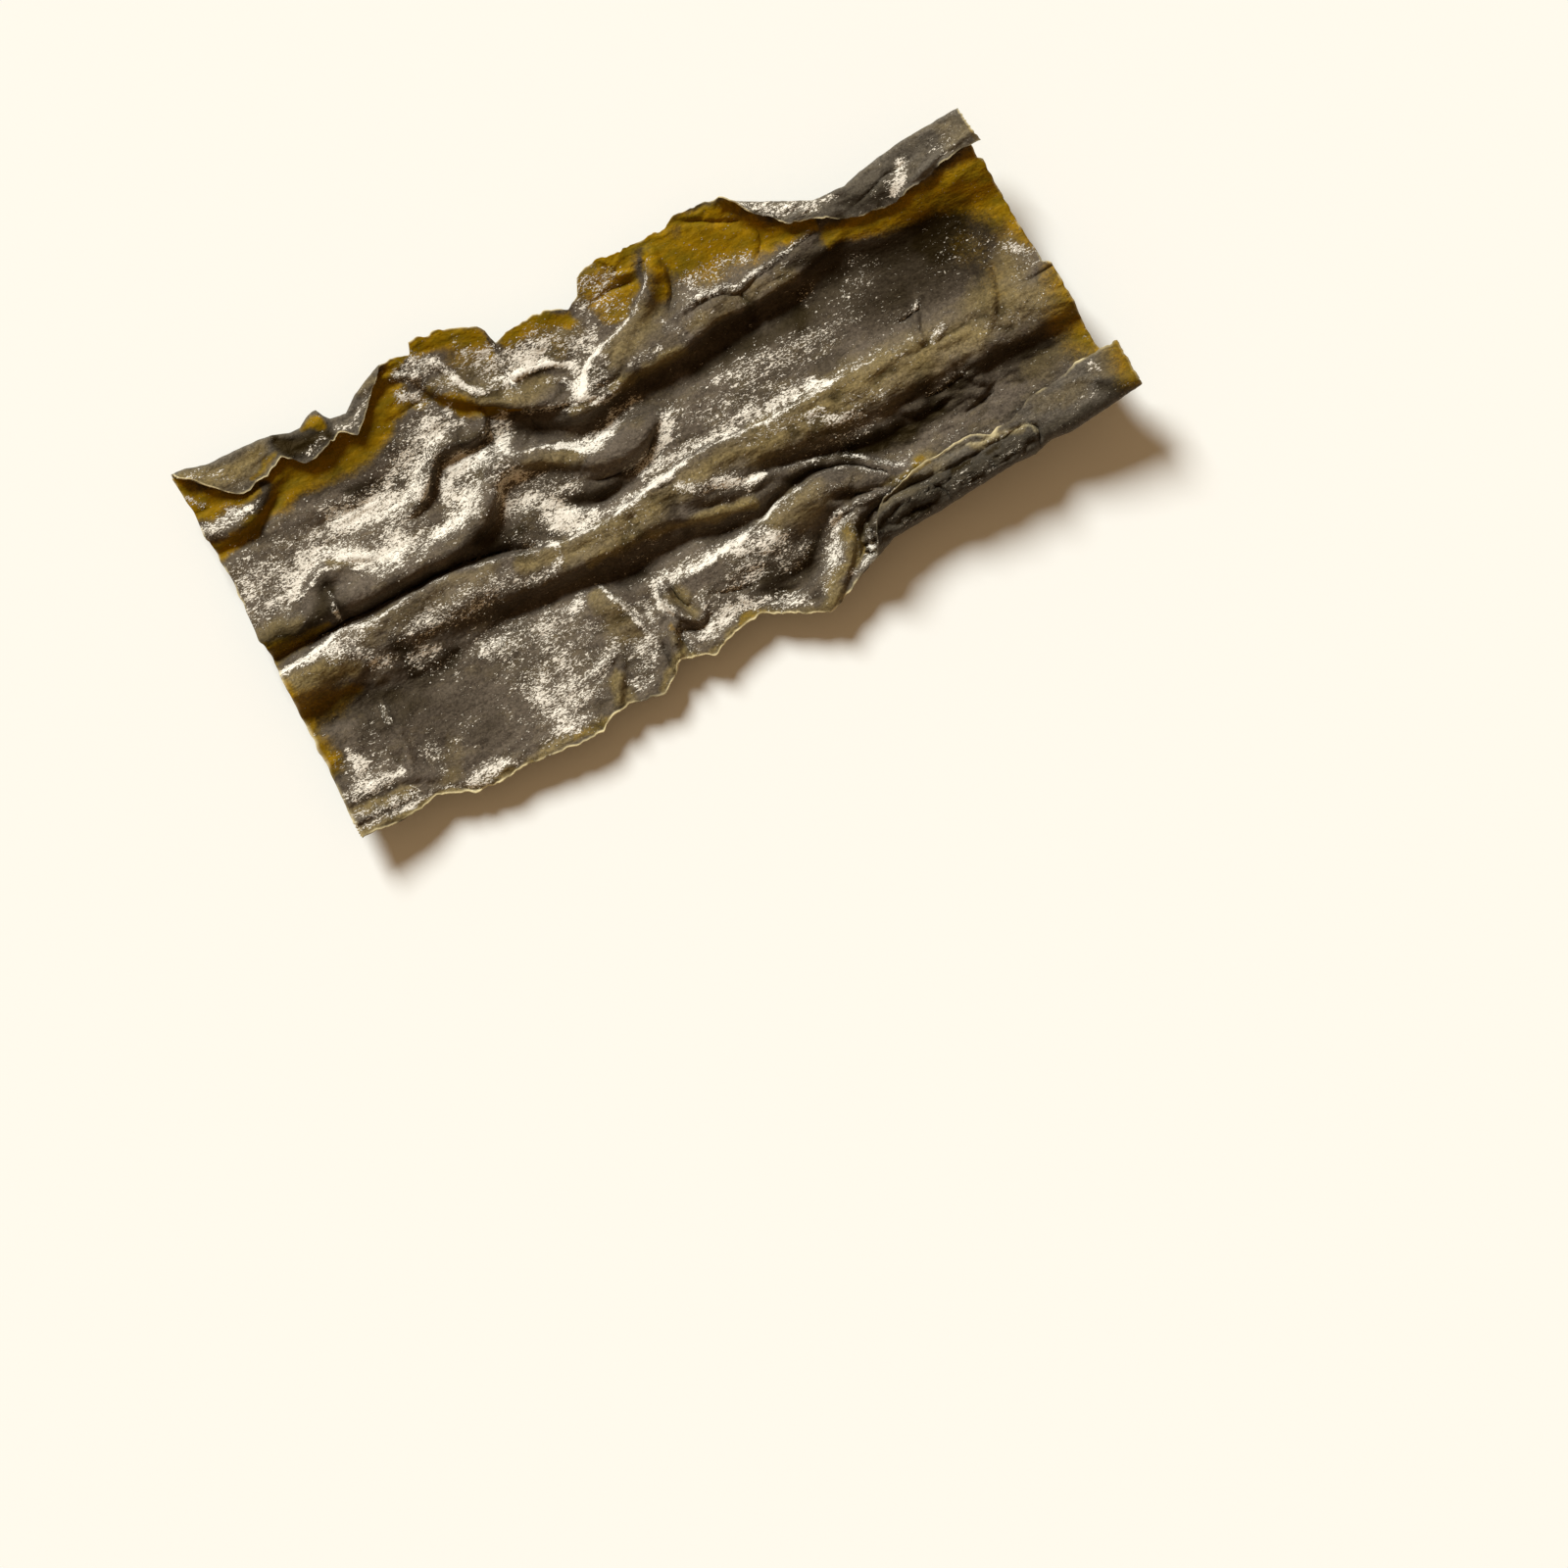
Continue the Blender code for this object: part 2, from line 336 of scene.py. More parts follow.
@dataclass(frozen=True)
class Patch:
    """A soft-edged stroke on the sheet, where it has more of something, such as bloom or clear amber.

    Each point of its line is its place along and across the blade and its half-width there.
    """

    line: tuple[tuple[float, float, float], ...]
    strength: float

    def amount(self, x: Array, y: Array) -> Array:
        """Give the stroke's strength, half of it at its half-width and none at twice that.

        Args:
            x: Places along the blade.
            y: Places across the blade.

        Returns:
            The strength at each plan point.
        """
        spread = np.zeros(x.shape)
        inside = near_line(self.line, x, y, STROKE_REACH * max(width for _, _, width in self.line))
        if inside.any():
            distance, width, _ = beside_curve(smooth_curve(self.line, STROKE_STEPS), x[inside], y[inside])
            share = np.abs(distance) / np.maximum(width, STROKE_LEAST)
            spread[inside] = self.strength * (1 - STROKE_FADE.at(share))
        return spread


def strokes(*rows: tuple) -> tuple[Patch, ...]:
    """Make a patch of each row, which is its strength and then the points of its line."""
    return tuple(Patch(tuple(line), strength) for strength, *line in rows)


def together(patches: tuple[Patch, ...], x: Array, y: Array, stray: float = 1.0) -> Array:
    """Lay strokes over each other, with uneven outlines, so that where two meet their sum runs up to 1.

    Args:
        patches: The strokes.
        x: Places along the blade.
        y: Places across the blade.
        stray: How far the outlines stray, in millimetres.

    Returns:
        Values from 0 to 1.
    """
    along = x + stray * layered(STRAY_ALONG, x, y)
    across = y + stray * layered(STRAY_ACROSS, x, y)
    clear = np.ones(x.shape)
    for patch in patches:
        clear *= 1 - np.clip(patch.amount(along, across), 0.0, STROKE_MOST)
    return 1 - clear


# ---- The plan: torn edges, cut ends and turned-over edges ----

# Where an edge counts as folded over, by its angle in radians, and how much smoother it is there
FOLDED_OVER = Ramp(1.2, 2.4)
FOLDED_SMOOTHER = 0.75

# The places beside a station at which a turned edge is read, to ease it from one station to the next
EASED_OVER = (-1.0, -0.5, 0.0, 0.5, 1.0)


@dataclass(frozen=True)
class TornEdge:
    """A long edge of the blade as it looks from above, with its fine tearing."""

    outline: tuple[tuple[float, float], ...]
    seed: int
    ragged: float = 0.34

    def across(self, x: Array, over: Array) -> Array:
        """Give the edge's place across the blade, smoother where it is folded over.

        Args:
            x: Places along the blade.
            over: Where it is folded over, from 0 to 1.

        Returns:
            The places across, in millimetres.
        """
        along, across = zip(*self.outline)
        torn = tearing(x, self.seed, coarse=2.3, fine=0.9, fine_share=0.6)
        return np.interp(x, along, across) + self.ragged * (1 - FOLDED_SMOOTHER * over) * torn


@dataclass(frozen=True)
class Turn:
    """One station of a turned-over edge.

    It has its place along the blade, how many degrees the edge is turned, how much of the blade is turned,
    and the radius of the bend.
    """

    along: float
    angle: float
    width: float
    radius: float


def stations(*rows: tuple[float, float, float, float]) -> tuple[Turn, ...]:
    """Make a station of each row of sizes."""
    return tuple(Turn(*row) for row in rows)


@dataclass(frozen=True)
class TurnedEdge:
    """A strip along a long edge that is turned over as far as its stations say."""

    stations: tuple[Turn, ...]
    seed: int
    ragged: float = 0.35

    def read(self, name: str, x: Array) -> Array:
        """Read one size of the strip, eased a little between the stations.

        Args:
            name: The size's name in Turn.
            x: Places along the blade.

        Returns:
            The size at each place.
        """
        along = [turn.along for turn in self.stations]
        values = [getattr(turn, name) for turn in self.stations]
        return sum(np.interp(x + step, along, values) for step in EASED_OVER) / len(EASED_OVER)

    def sizes(self, x: Array) -> tuple[Array, Array, Array]:
        """Give the strip's sizes, with its free edge torn.

        Args:
            x: Places along the blade.

        Returns:
            The angle in radians, the width and the radius at each place.
        """
        torn = tearing(x, self.seed, coarse=2.6, fine=1.0, fine_share=0.5)
        width = self.read("width", x) + self.ragged * torn
        return np.radians(self.read("angle", x)), width, self.read("radius", x)

    def over(self, x: Array) -> Array:
        """Say where the edge is folded right over, from 0 to 1."""
        return FOLDED_OVER.at(self.sizes(x)[0])

    def reach(self, x: Array) -> Array:
        """Tell how far past its hinge the strip shows from above.

        Args:
            x: Places along the blade.

        Returns:
            The distances, in millimetres.
        """
        angle, width, radius = self.sizes(x)
        bulge = radius * np.sin(np.minimum(angle, math.pi / 2))
        beyond = np.maximum(width - radius * angle, 0.0) * np.cos(angle)
        return bulge + np.maximum(beyond, 0.0)

    def rolled(self, x: Array, share: Array) -> tuple[Array, Array]:
        """Find where a point of the strip lies after turning.

        Args:
            x: Places along the blade.
            share: How far out along the strip, from 0 at the hinge to 1 at the free edge.

        Returns:
            The distance past the hinge, and the height.
        """
        angle, width, radius = self.sizes(x)
        travelled = share * width
        bent = np.minimum(travelled / radius, angle)
        straight = travelled - radius * bent
        out = radius * np.sin(bent) + straight * np.cos(bent)
        up = radius * (1 - np.cos(bent)) + straight * np.sin(bent)
        return out, up


FAR_EDGE = TornEdge(
    (
        (-106, 52.6), (-100, 52), (-96, 51.5), (-91, 50.1), (-80, 49.7), (-75, 49.2), (-71, 47.7),
        (-68, 47.5), (-65, 49.2), (-63.2, 49.5), (-62.4, 47.6), (-61.2, 46.2), (-57, 45.4), (-53, 48.4),
        (-48, 50.6), (-45, 51.8), (-40, 51.5), (-37.4, 51), (-36.5, 53.6), (-30, 52.8), (-24, 51),
        (-20.5, 49), (-19.5, 47), (-18.9, 43.7), (-13, 45.3), (-8, 45.8), (0, 43.4), (3.4, 44.6), (5, 48),
        (8, 49.6), (11, 49.9), (14, 49.1), (29, 49), (32, 50.3), (40, 50.1), (43, 49.2), (47, 46),
        (52, 43.2), (62, 38), (70, 37.3), (75, 38.6), (80, 39.5), (90, 40.4), (112, 41.2),
    ),
    seed=21,
)
NEAR_EDGE = TornEdge(
    (
        (-106, -43.3), (-85, -44), (-80, -42.6), (-72, -46), (-65, -47.2), (-58, -46.4), (-50, -47.5),
        (-39, -47.8), (-35, -45.8), (-31, -45), (-22, -46.5), (-18, -44), (-15, -41.6), (-11, -42.6),
        (-8, -44.3), (-4, -43), (0, -41.5), (6, -40.8), (10, -42.6), (15, -45.4), (21, -48), (27, -46),
        (32, -43.5), (38, -41), (42, -39.3), (55, -38.7), (75, -37.3), (80, -37.7), (85, -36.3),
        (90, -36.9), (112, -35),
    ),
    seed=31,
)
FAR_TURNS = TurnedEdge(
    stations(
        (-106, 60, 3.4, 1.3), (-99, 120, 4.4, 1.1), (-92, 172, 7.6, 0.9), (-88, 176, 11.4, 0.8),
        (-86.5, 176, 11.4, 0.8), (-80, 176, 9.6, 0.9), (-76.5, 172, 8.4, 0.9), (-75.5, 170, 7.4, 1),
        (-71, 172, 10, 1.1), (-68, 168, 10.2, 1.1), (-65.5, 160, 11.4, 1.1), (-63, 166, 10.8, 1),
        (-61, 150, 5.6, 1), (-57, 166, 7.4, 0.9), (-53, 168, 7, 0.8), (-50, 166, 5.1, 0.8),
        (-48, 165, 4, 0.8), (-45.6, 150, 2.4, 0.7), (-44, 40, 1.6, 0.8), (-42, 0, 3, 2),
        (-38, 0, 4.5, 2.5), (41, 0, 4.5, 2.5), (45, 70, 5, 1.5), (48, 150, 6.2, 1.3), (52, 162, 7, 1.3),
        (53.5, 165, 8.6, 1.3), (57, 165, 8, 1.3), (62, 166, 7.2, 1.3), (66, 174, 8.8, 1),
        (70, 176, 9.4, 0.9), (75, 176, 11.4, 0.9), (79, 176, 12.4, 0.9), (84, 176, 12, 0.9),
        (90, 176, 11.4, 0.9), (95, 176, 10.7, 0.9), (112, 175, 11.4, 0.9),
    ),
    seed=41,
)
NEAR_TURNS = TurnedEdge(
    stations(
        (-106, 0, 4.5, 2.5), (24, 0, 4.5, 2.5), (31, 20, 5, 2.4), (36, 80, 7, 2.2), (40, 145, 10.6, 1.9),
        (45, 168, 13.2, 1.9), (50, 170, 14, 1.9), (54, 171, 15.4, 1.9), (58, 171, 15, 1.9),
        (65, 171, 15.5, 1.9), (70, 171, 14.8, 1.9), (73, 171, 12, 1.9), (75, 171, 13.6, 1.9),
        (82, 172, 13.5, 1.9), (85, 176, 15.4, 2.2), (89, 176.5, 16.4, 2.3), (95, 177, 16.6, 2.4),
        (98, 177, 17.6, 2.4), (112, 177, 16.4, 2.4),
    ),
    seed=51,
)

# The two cut ends: how far along the blade they lie, from the free edge of the near strip (-1), over the
# flat sheet (0 to 1), to the free edge of the far strip (2)
END_PLACES = (
    -1, 0, 0.12, 0.16, 0.3, 0.42, 0.455, 0.465, 0.515, 0.53, 0.56, 0.7, 0.84, 0.85, 0.9, 1, 1.5, 2,
)
LEFT_END = (
    -100, -100.2, -99.6, -99.5, -99.5, -99, -99, -99, -99, -99.6, -99.4, -98.8, -99.3, -99.2, -99, -99.8,
    -99.2, -98.6,
)
RIGHT_END = (
    108.7, 109.4, 105, 104.1, 104.3, 104.2, 103.9, 102.5, 102.3, 102.2, 102, 101.4, 101.1, 100.2, 100.3,
    101.2, 101.6, 102.4,
)


# ---- The folds, by name ----

FOLDS: dict[str, Fold] = {
    # the long fold that starts at the left end, and the loop that it makes in the middle of the sheet
    "long fold": Fold(((-106, 7.8, 2.4), (-94, 8, 3), (-82, 8.4, 4), (-70, 8, 4.4), (-56, 7.8, 4.8),
        (-47, 8.2, 5), (-41.5, 10.4, 5), (-37.6, 14.4, 4.8), (-34.6, 17.6, 4.6), (-30.6, 19, 4.4),
        (-25.6, 18.6, 4.2), (-20.4, 16.6, 4), (-15.6, 13.6, 3.4), (-11.6, 10.6, 2.4), (-8, 8.8, 0.8)),
        4.6, 4.4, Crest.SOFT, near_side=Side.BELL, lean=0.22),
    "knob": Fold(((-13, 9.4, 0.4), (-8, 9.4, 2.4), (-2, 9.8, 3.2), (2, 11.8, 2.6), (4.6, 13.8, 1.2),
        (6, 15, 0)), 6, 5, Crest.ROUND, Side.BELL, Side.BODY, lean=0.15),
    "knob edge": Fold(((-15.4, 6.4, 0), (-11, 4.7, -1.6), (-6, 4, -2.2), (-1, 4.4, -2), (2.6, 6.8, -1.4),
        (5, 9.6, 0)), 0.8, 2.2, Crest.KEEN),
    "recess": Fold(((-26, 5, 0), (-20, 2.6, -1.8), (-14, 0.8, -2.6), (-8, 1, -2.4), (-3, 2.8, -1),
        (0, 4, 0)), 2.6, 2.6, Crest.ROUND, Side.BELL, Side.BELL),
    "crevice": Fold(((-106, 3, -2.4), (-80, 3.1, -3.4), (-60, 2.9, -4.2), (-48, 2.2, -4),
        (-40, 0.4, -3.6), (-34, -1.8, -2), (-30, -3.2, 0)), 2.2, 1.9, Crest.SOFT),
    "peak": Fold(((-88.5, 11.6, 0), (-84, 13.8, 1.6), (-80, 15.8, 2.4), (-76.6, 15.2, 2.2),
        (-72, 12.6, 1), (-69, 11, 0)), 1.8, 6, near_side=Side.BELL, white=0.7),
    "peak echo": Fold(((-75.5, 16.8, 0), (-72, 16, 1), (-68, 14.2, 1), (-64.5, 12, 0)), 1.3, 1.8,
        white=0.5),
    "peak rib": Fold(((-79.8, 12, 0), (-80.3, 9.4, 1.2), (-80.8, 6.2, 1.8), (-81, 3.4, 0)), 1.1, 1.3,
        Crest.SOFT, white=1),
    "loop rim": Fold(((-31, 19.9, 0), (-26, 19.4, 0.5), (-20, 17.6, 0.6), (-15, 14.9, 0.5),
        (-12, 12.2, 0.4), (-10, 9.6, 0)), 0.8, 0.9, white=1.25),
    # the middle ridge, from end to end, with its keen upper lip
    "lip": Fold(((-106, -1.2, 2.2), (-92, -1.1, 2.6), (-86, -0.2, 2.8), (-81, 0.8, 3), (-76, -0.9, 2.8),
        (-68, -0.6, 3.4), (-60, -0.1, 3.8), (-50, -0.6, 4), (-42, -2, 3.8), (-36, -3.8, 3.6),
        (-30, -4.9, 3.6), (-22, -6, 3.8), (-15, -6, 4), (-8, -5, 3.8), (0, -3.6, 3.6), (8, -2.3, 3.4),
        (15, -1.8, 3.2), (22, -2.4, 3), (30, -2.8, 2.4), (40, -2.4, 1.6), (52, -1.6, 0.7),
        (66, -1.2, 0.3), (80, -1, 0)), 2.4, 10.5, near_side=Side.BODY, lean=-0.12, white=0.74,
        white_at=0.5),
    "left bulge": Fold(((-106, -5.2, 1.2), (-96, -5, 1.6), (-88, -5.2, 1.4), (-80, -6.6, 0.6),
        (-74, -8, 0)), 4.5, 6, Crest.ROUND, Side.BELL, Side.BELL),
    "lip step": Fold(((-52, -9.4, 0), (-42, -9.8, 1), (-34, -10.2, 1.4), (-25, -10.6, 1.6),
        (-15, -11.4, 1.6), (-8, -10.9, 1.6), (0, -11.8, 1.8), (5, -14, 2), (11, -15.8, 2),
        (17, -16.6, 1.8), (24, -16.2, 1.2), (30, -15, 0)), 3.4, 2.2, lean=0.25),
    "lip fullness": Fold(((1, -8.5, 0), (7, -9.8, 1.6), (14, -11.6, 2.2), (20, -12, 1.6),
        (26, -11.4, 0.4), (29, -11, 0)), 5, 3.6, Crest.ROUND, Side.BELL, Side.BELL),
    "left fullness": Fold(((-78, -9, 0), (-70, -9.2, 1), (-60, -8.2, 1.3), (-50, -7.4, 1.3),
        (-42, -7.2, 0.9), (-36, -7.6, 0)), 4.6, 4.2, Crest.ROUND, Side.BELL, Side.BELL),
    "hollow under the lip": Fold(((-66, -17, -0.4), (-54, -15.4, -1), (-42, -13.8, -2.2),
        (-30, -14.2, -2.8), (-20, -16.2, -3), (-10, -17, -3), (0, -17.6, -3), (10, -19.2, -2.8),
        (20, -19.2, -2.4), (30, -17.6, -1.6), (38, -18.4, -0.8), (45, -22, 0)), 3, 5.2, Crest.ROUND),
    # the pleats that run together at the pinch on the near side
    "pleat": Fold(((17, -12.6, 0), (22, -13, 1.8), (28, -13.9, 2.6), (34, -15.2, 3), (39, -16.8, 3.4),
        (43, -18.9, 3.4), (47, -22.2, 3), (50, -25, 2), (54, -27, 0.8), (58, -27.4, 0)), 1.5, 3.4,
        Crest.KEEN, near_side=Side.BELL, lean=0.1, white=0.72, white_at=0.3),
    "pleat groove": Fold(((24, -15.4, 0), (31, -16, -0.8), (38, -18.2, -1.1), (43, -21.2, -1.1),
        (47.6, -25.2, -0.6)), 1, 1),
    "right trough": Fold(((19, -9.6, 0), (26, -11.4, -2), (34, -14, -3), (43, -16.8, -3.6),
        (52, -18.6, -3.4), (62, -17.8, -2), (74, -16.4, -1.6), (90, -15.6, -2), (110, -15.2, -2.2)), 3.3,
        9, Crest.SOFT, Side.BELL, Side.BELL),
    "right body": Fold(((26, -5.6, 0.6), (36, -5.8, 2), (48, -6.4, 3.5), (60, -6.6, 3.5), (70, -6.8, 2.7),
        (80, -7, 2.4), (92, -7.4, 2.4), (110, -7.6, 2.6)), 11, 7, Crest.ROUND, Side.BELL, Side.BODY),
    "lower crest": Fold(((-13, -25.4, 0), (-8, -25.5, 1), (0, -25, 1.6), (8, -24.4, 2), (16, -22.6, 3),
        (24, -20.5, 4), (31, -19.7, 4.6), (36.4, -19.8, 4.6), (40.4, -21, 4), (44, -23.8, 3.2),
        (47.5, -26.8, 1.8), (50, -29, 0)), 2, 10.5, near_side=Side.BODY, lean=-0.05, white=0.75,
        white_at=0.4),
    "lower pocket": Fold(((31, -24.6, 0), (34.6, -25.6, -1.8), (38.6, -26.4, -2.8), (42.4, -27.8, -2.2),
        (46, -29, 0)), 2.2, 1.5, Crest.SOFT, Side.BELL),
    "pocket rib": Fold(((34.6, -22.4, 0), (36.6, -23.8, 0.9), (40, -25.6, 1.2), (43.8, -28.2, 0.8)), 1,
        1.1, white=0.35),
    "pocket sill": Fold(((29, -30.4, 0), (32, -28.8, 1), (38, -28.4, 1.6), (44, -29.2, 1.6),
        (49, -28.4, 1.1), (54, -26.9, 0.5)), 1.1, 1.5, white=0.7),
    "gusset rib": Fold(((33.5, -31, 0), (34.6, -34.5, 1), (33.4, -38, 1), (31, -41, 0)), 0.9, 1, white=0.5),
    "gusset edge": Fold(((37.2, -31.5, 0), (37.8, -34.6, 0.9), (36.8, -37.8, 0.9), (35, -40, 0)), 0.9,
        0.9, white=0.4),
    "lower hollow": Fold(((0, -37.4, 0), (8, -38.2, -0.9), (14, -38.2, -2.2), (21, -36.8, -3.2),
        (26.4, -33.6, -2.8), (30, -29.6, -1.4), (31.6, -26, 0)), 4.2, 4.4, Crest.ROUND, Side.BELL,
        Side.BELL),
    "gusset": Fold(((22, -47, 1.4), (27, -42.6, 2), (31.4, -38, 2.6), (34.4, -33.6, 2.8),
        (36.6, -31.2, 2.2), (41, -30.2, 1.2), (46, -29.6, 0)), 3, 2, Crest.SOFT, Side.BELL),
    # the near edge, rolled over a second time on its own turned strip
    "outer roll": Fold(((36, -38.6, 0), (39.6, -36, 1.6), (46, -34.8, 2.2), (56, -34.4, 2.4),
        (66, -34.6, 2.4), (74, -34.4, 2.4), (79, -34.3, 2.2), (81.6, -34.2, 1.4), (83, -34, 0)), 3.2, 5,
        Crest.ROUND, Side.BODY, Side.BODY),
    "roll groove": Fold(((37, -33.6, 0), (40, -31.9, -1.6), (45, -30.9, -1.9), (52, -30.5, -1.9),
        (58, -31.3, -1.7), (65, -31.9, -1.5), (71, -31, -1.3), (77, -30.8, -1.3), (81.4, -31.3, -1.5),
        (83.3, -33.4, -1.6), (82.2, -36.2, -1.4), (81, -38, -0.6)), 0.8, 0.9),
    "roll crease": Fold(((40, -35.6, 0), (45, -34.2, -1.2), (52, -33.4, -1.1), (57, -34.2, -1.2),
        (64, -33.8, -1.1), (72, -33.2, -1), (79, -33.7, 0)), 0.6, 0.8),
    "roll fold": Fold(((53.6, -30.8, 0), (55.6, -32.8, -1.1), (57.4, -35.6, -1.2), (58.2, -39, -0.9)),
        0.7, 0.9),
    "roll ridge": Fold(((40, -34.4, 0), (44.6, -32.8, 0.9), (50, -32, 1), (55, -31.8, 0)), 0.6, 0.8,
        white=0.3),
    "roll bump": Fold(((44.4, -36.6, 0), (47, -38, 0.9), (51, -38.2, 0.9), (55, -37.4, 0)), 0.8, 0.9,
        white=0.3),
    "roll vein": Fold(((58, -34.6, 0), (63, -35.4, 0.8), (69, -35.2, 0.8), (76, -34.8, 0.6),
        (81, -35.4, 0)), 0.5, 0.7, white=0.45),
    "roll vein low": Fold(((59, -36.4, 0), (64, -37, 0.7), (70, -36.6, 0.7), (75, -36.6, 0)), 0.5, 0.6,
        white=0.4),
    "roll tuck": Fold(((43.5, -37.8, 0), (46, -36.2, -0.9), (49.4, -36.6, -0.9), (54, -37.2, -0.6),
        (60, -36.6, 0)), 0.9, 1),
    "roll lip": Fold(((65, -29.2, 0), (72, -30.1, 0.5), (79, -30.6, 0.6), (81.8, -31.8, 0.5),
        (82.6, -33.6, 0)), 0.6, 0.7, white=1),
    "strip vein": Fold(((91, -27.6, 0), (95, -27.2, 0.6), (98, -28, 0.7), (101, -29.6, 0.6),
        (102.4, -31.4, 0)), 0.6, 0.8, white=0.4),
    "strip crease": Fold(((52, -28.9, 0), (58, -28.3, -0.7), (64, -28.4, -0.7), (69, -28.9, -0.8),
        (73.4, -30.2, 0)), 0.8, 1),
    # short creases on the near side
    "tent": Fold(((-25.2, -16.2, 0), (-23.2, -19.5, 1.8), (-21.6, -24, 2.4), (-20.2, -28.4, 1.4),
        (-19, -32, 0)), 1.3, 8, Crest.KEEN, near_side=Side.BELL, white=1),
    "tent shade": Fold(((-19.8, -17.6, -0.8), (-17, -20, -1.6), (-14.6, -18.6, -1.4), (-10, -18.4, -0.6)),
        3, 2.6, Crest.ROUND, Side.BELL, Side.BELL),
    "hook": Fold(((-9.6, -21.4, 0), (-11.2, -25, 1.8), (-11.2, -29.5, 2.4), (-9.4, -33.4, 2.4),
        (-6.4, -34.9, 1.8), (-4.4, -32.8, 0.8), (-3.2, -30, 0)), 2, 1.8, white=0.4),
    "hook hollow": Fold(((-9.4, -24.5, -0.6), (-8.9, -28, -2), (-7.8, -31, -2), (-5.8, -31.4, 0)), 1.4,
        1.4, Crest.SOFT),
    "hook shade": Fold(((-13, -35, 0), (-10, -36.2, -1.4), (-7, -37, -1.4), (-4, -35.4, -0.6)), 0.9, 1.6,
        Crest.SOFT),
    "rib": Fold(((-11, -32.6, 0.5), (-13.4, -34.6, 1.8), (-14.7, -38, 2.2), (-15.2, -44, 2.4)), 1.4, 1.5,
        Crest.SOFT),
    "rib left hollow": Fold(((-16.6, -34.5, 0), (-17.2, -38, -1.6), (-17.4, -44, -1.8)), 1.2, 1.2,
        Crest.SOFT),
    "rib right hollow": Fold(((-12.2, -36, -0.8), (-12.6, -39, -1.8), (-11.6, -43, -1.4)), 1.3, 1.2,
        Crest.SOFT),
    "near pleat": Fold(((-26.5, -33, 0), (-28.5, -36.6, 1.6), (-31.2, -40.5, 2), (-33.8, -46, 2)), 2.4,
        1.3),
    "near line": Fold(((-38, -35.2, 0), (-34, -34.6, 1), (-31, -34, 1.2), (-26, -33, 0)), 1.6, 1.6,
        white=0.4),
    "streaks": Fold(((-4, -30.2, 0), (1, -32.2, -0.9), (6, -33.6, -0.9), (11, -33.4, 0)), 0.7, 0.9),
    "left rib": Fold(((-81, -15, 0), (-82.2, -20, 0.9), (-81.4, -27, 0.9), (-82.6, -34, 0.9),
        (-84, -39, 0)), 2.2, 1),
    "left trough": Fold(((-106, -13.4, -2.4), (-94, -13.4, -2.6), (-84, -14.6, -2.2), (-74, -17, -1.8),
        (-64, -17.6, -1.2), (-56, -17, 0)), 4.4, 7, Crest.ROUND, Side.BELL, Side.BELL),
    "left low crest": Fold(((-106, -34.4, 0.5), (-92, -34.4, 0.6), (-86, -35.2, 0.5), (-81, -37.4, 0.5),
        (-75, -41, 0)), 3.4, 1.9, Crest.SOFT),
    "left low layer": Fold(((-106, -39.6, 0.35), (-94, -39.8, 0.4), (-86, -39.8, 0.5), (-79, -41.2, 0)),
        1.8, 1.2, white=0.5),
    "near notch": Fold(((-78, -41, 0), (-73.5, -44.2, -1), (-68, -46.6, -0.8), (-62, -45.4, 0)), 1.2, 1.6,
        Crest.SOFT),
    # the far side: a bent ridge, the drape over the amber gap, and the shoulder under the far lobes
    "bent ridge": Fold(((-58, 17.4, 0), (-54, 19.4, 1.6), (-50, 22, 2.6), (-47, 25.6, 3),
        (-43.6, 28.4, 2.8), (-38.5, 28.2, 2.4), (-34.5, 27.6, 2.6), (-31.4, 28.8, 2.6),
        (-30.2, 31.6, 1.4), (-31, 34.6, 0)), 3, 2, lean=0.3, white=0.25),
    "bent ridge hollow": Fold(((-55, 16.6, 0), (-50, 18.2, -0.8), (-46.4, 21.6, -1.2), (-43, 25, -1.5),
        (-37, 24.8, -1.8), (-32, 25.4, -1.8), (-28.4, 29, -0.6)), 1.6, 3, Crest.SOFT),
    "drape": Fold(((-39, 46.6, 0.8), (-36.8, 42.6, 2), (-33.4, 38.8, 2.3), (-29.4, 35.4, 2.9),
        (-25, 32.4, 3.5), (-20.6, 30, 4), (-16.6, 27.8, 3.8), (-12.6, 26, 2.8), (-9.4, 24.6, 0.8)), 4.6,
        1.6, far_side=Side.BELL, lean=0.42),
    "drape gully": Fold(((-39.6, 43, -0.4), (-37, 39.4, -0.5), (-33, 34.8, -0.6), (-28, 31.2, -0.9),
        (-22, 28.4, -1.6), (-16, 25.6, -1.4), (-11, 23.6, -0.6)), 1.8, 3.4, Crest.SOFT, Side.BELL,
        Side.BELL),
    "drape line": Fold(((-35, 49, 0.4), (-32.4, 44.5, 1.3), (-30.4, 40, 1.6), (-27.4, 36.4, 1.6),
        (-22, 34.9, 1.4), (-15, 34.8, 1.2), (-9, 33.4, 1), (-4.6, 30.8, 0.3)), 1.8, 1.2, Crest.KEEN,
        white=0.65),
    "drape ribs": Fold(((-14, 31.4, 0), (-10.4, 30, 0.8), (-7.6, 27.6, 0.9), (-6.4, 25, 0)), 1, 1,
        white=0.35),
    "white hem": Fold(((-21, 27.4, 0), (-16, 25.2, 0.8), (-12, 23.4, 1.2), (-9, 21.6, 0.8), (-6, 22, 0)),
        1.1, 1.4, white=0.7),
    "tuck": Fold(((-47, 50.5, 0.4), (-43.6, 48.2, 1), (-40, 46.8, 1.4), (-37.4, 45.6, 0.8)), 1.2, 1.4),
    "tuck line": Fold(((-50, 39.8, 0), (-44.5, 39.8, -0.8), (-40.6, 40.2, -1), (-38, 39, 0)), 1, 1.4),
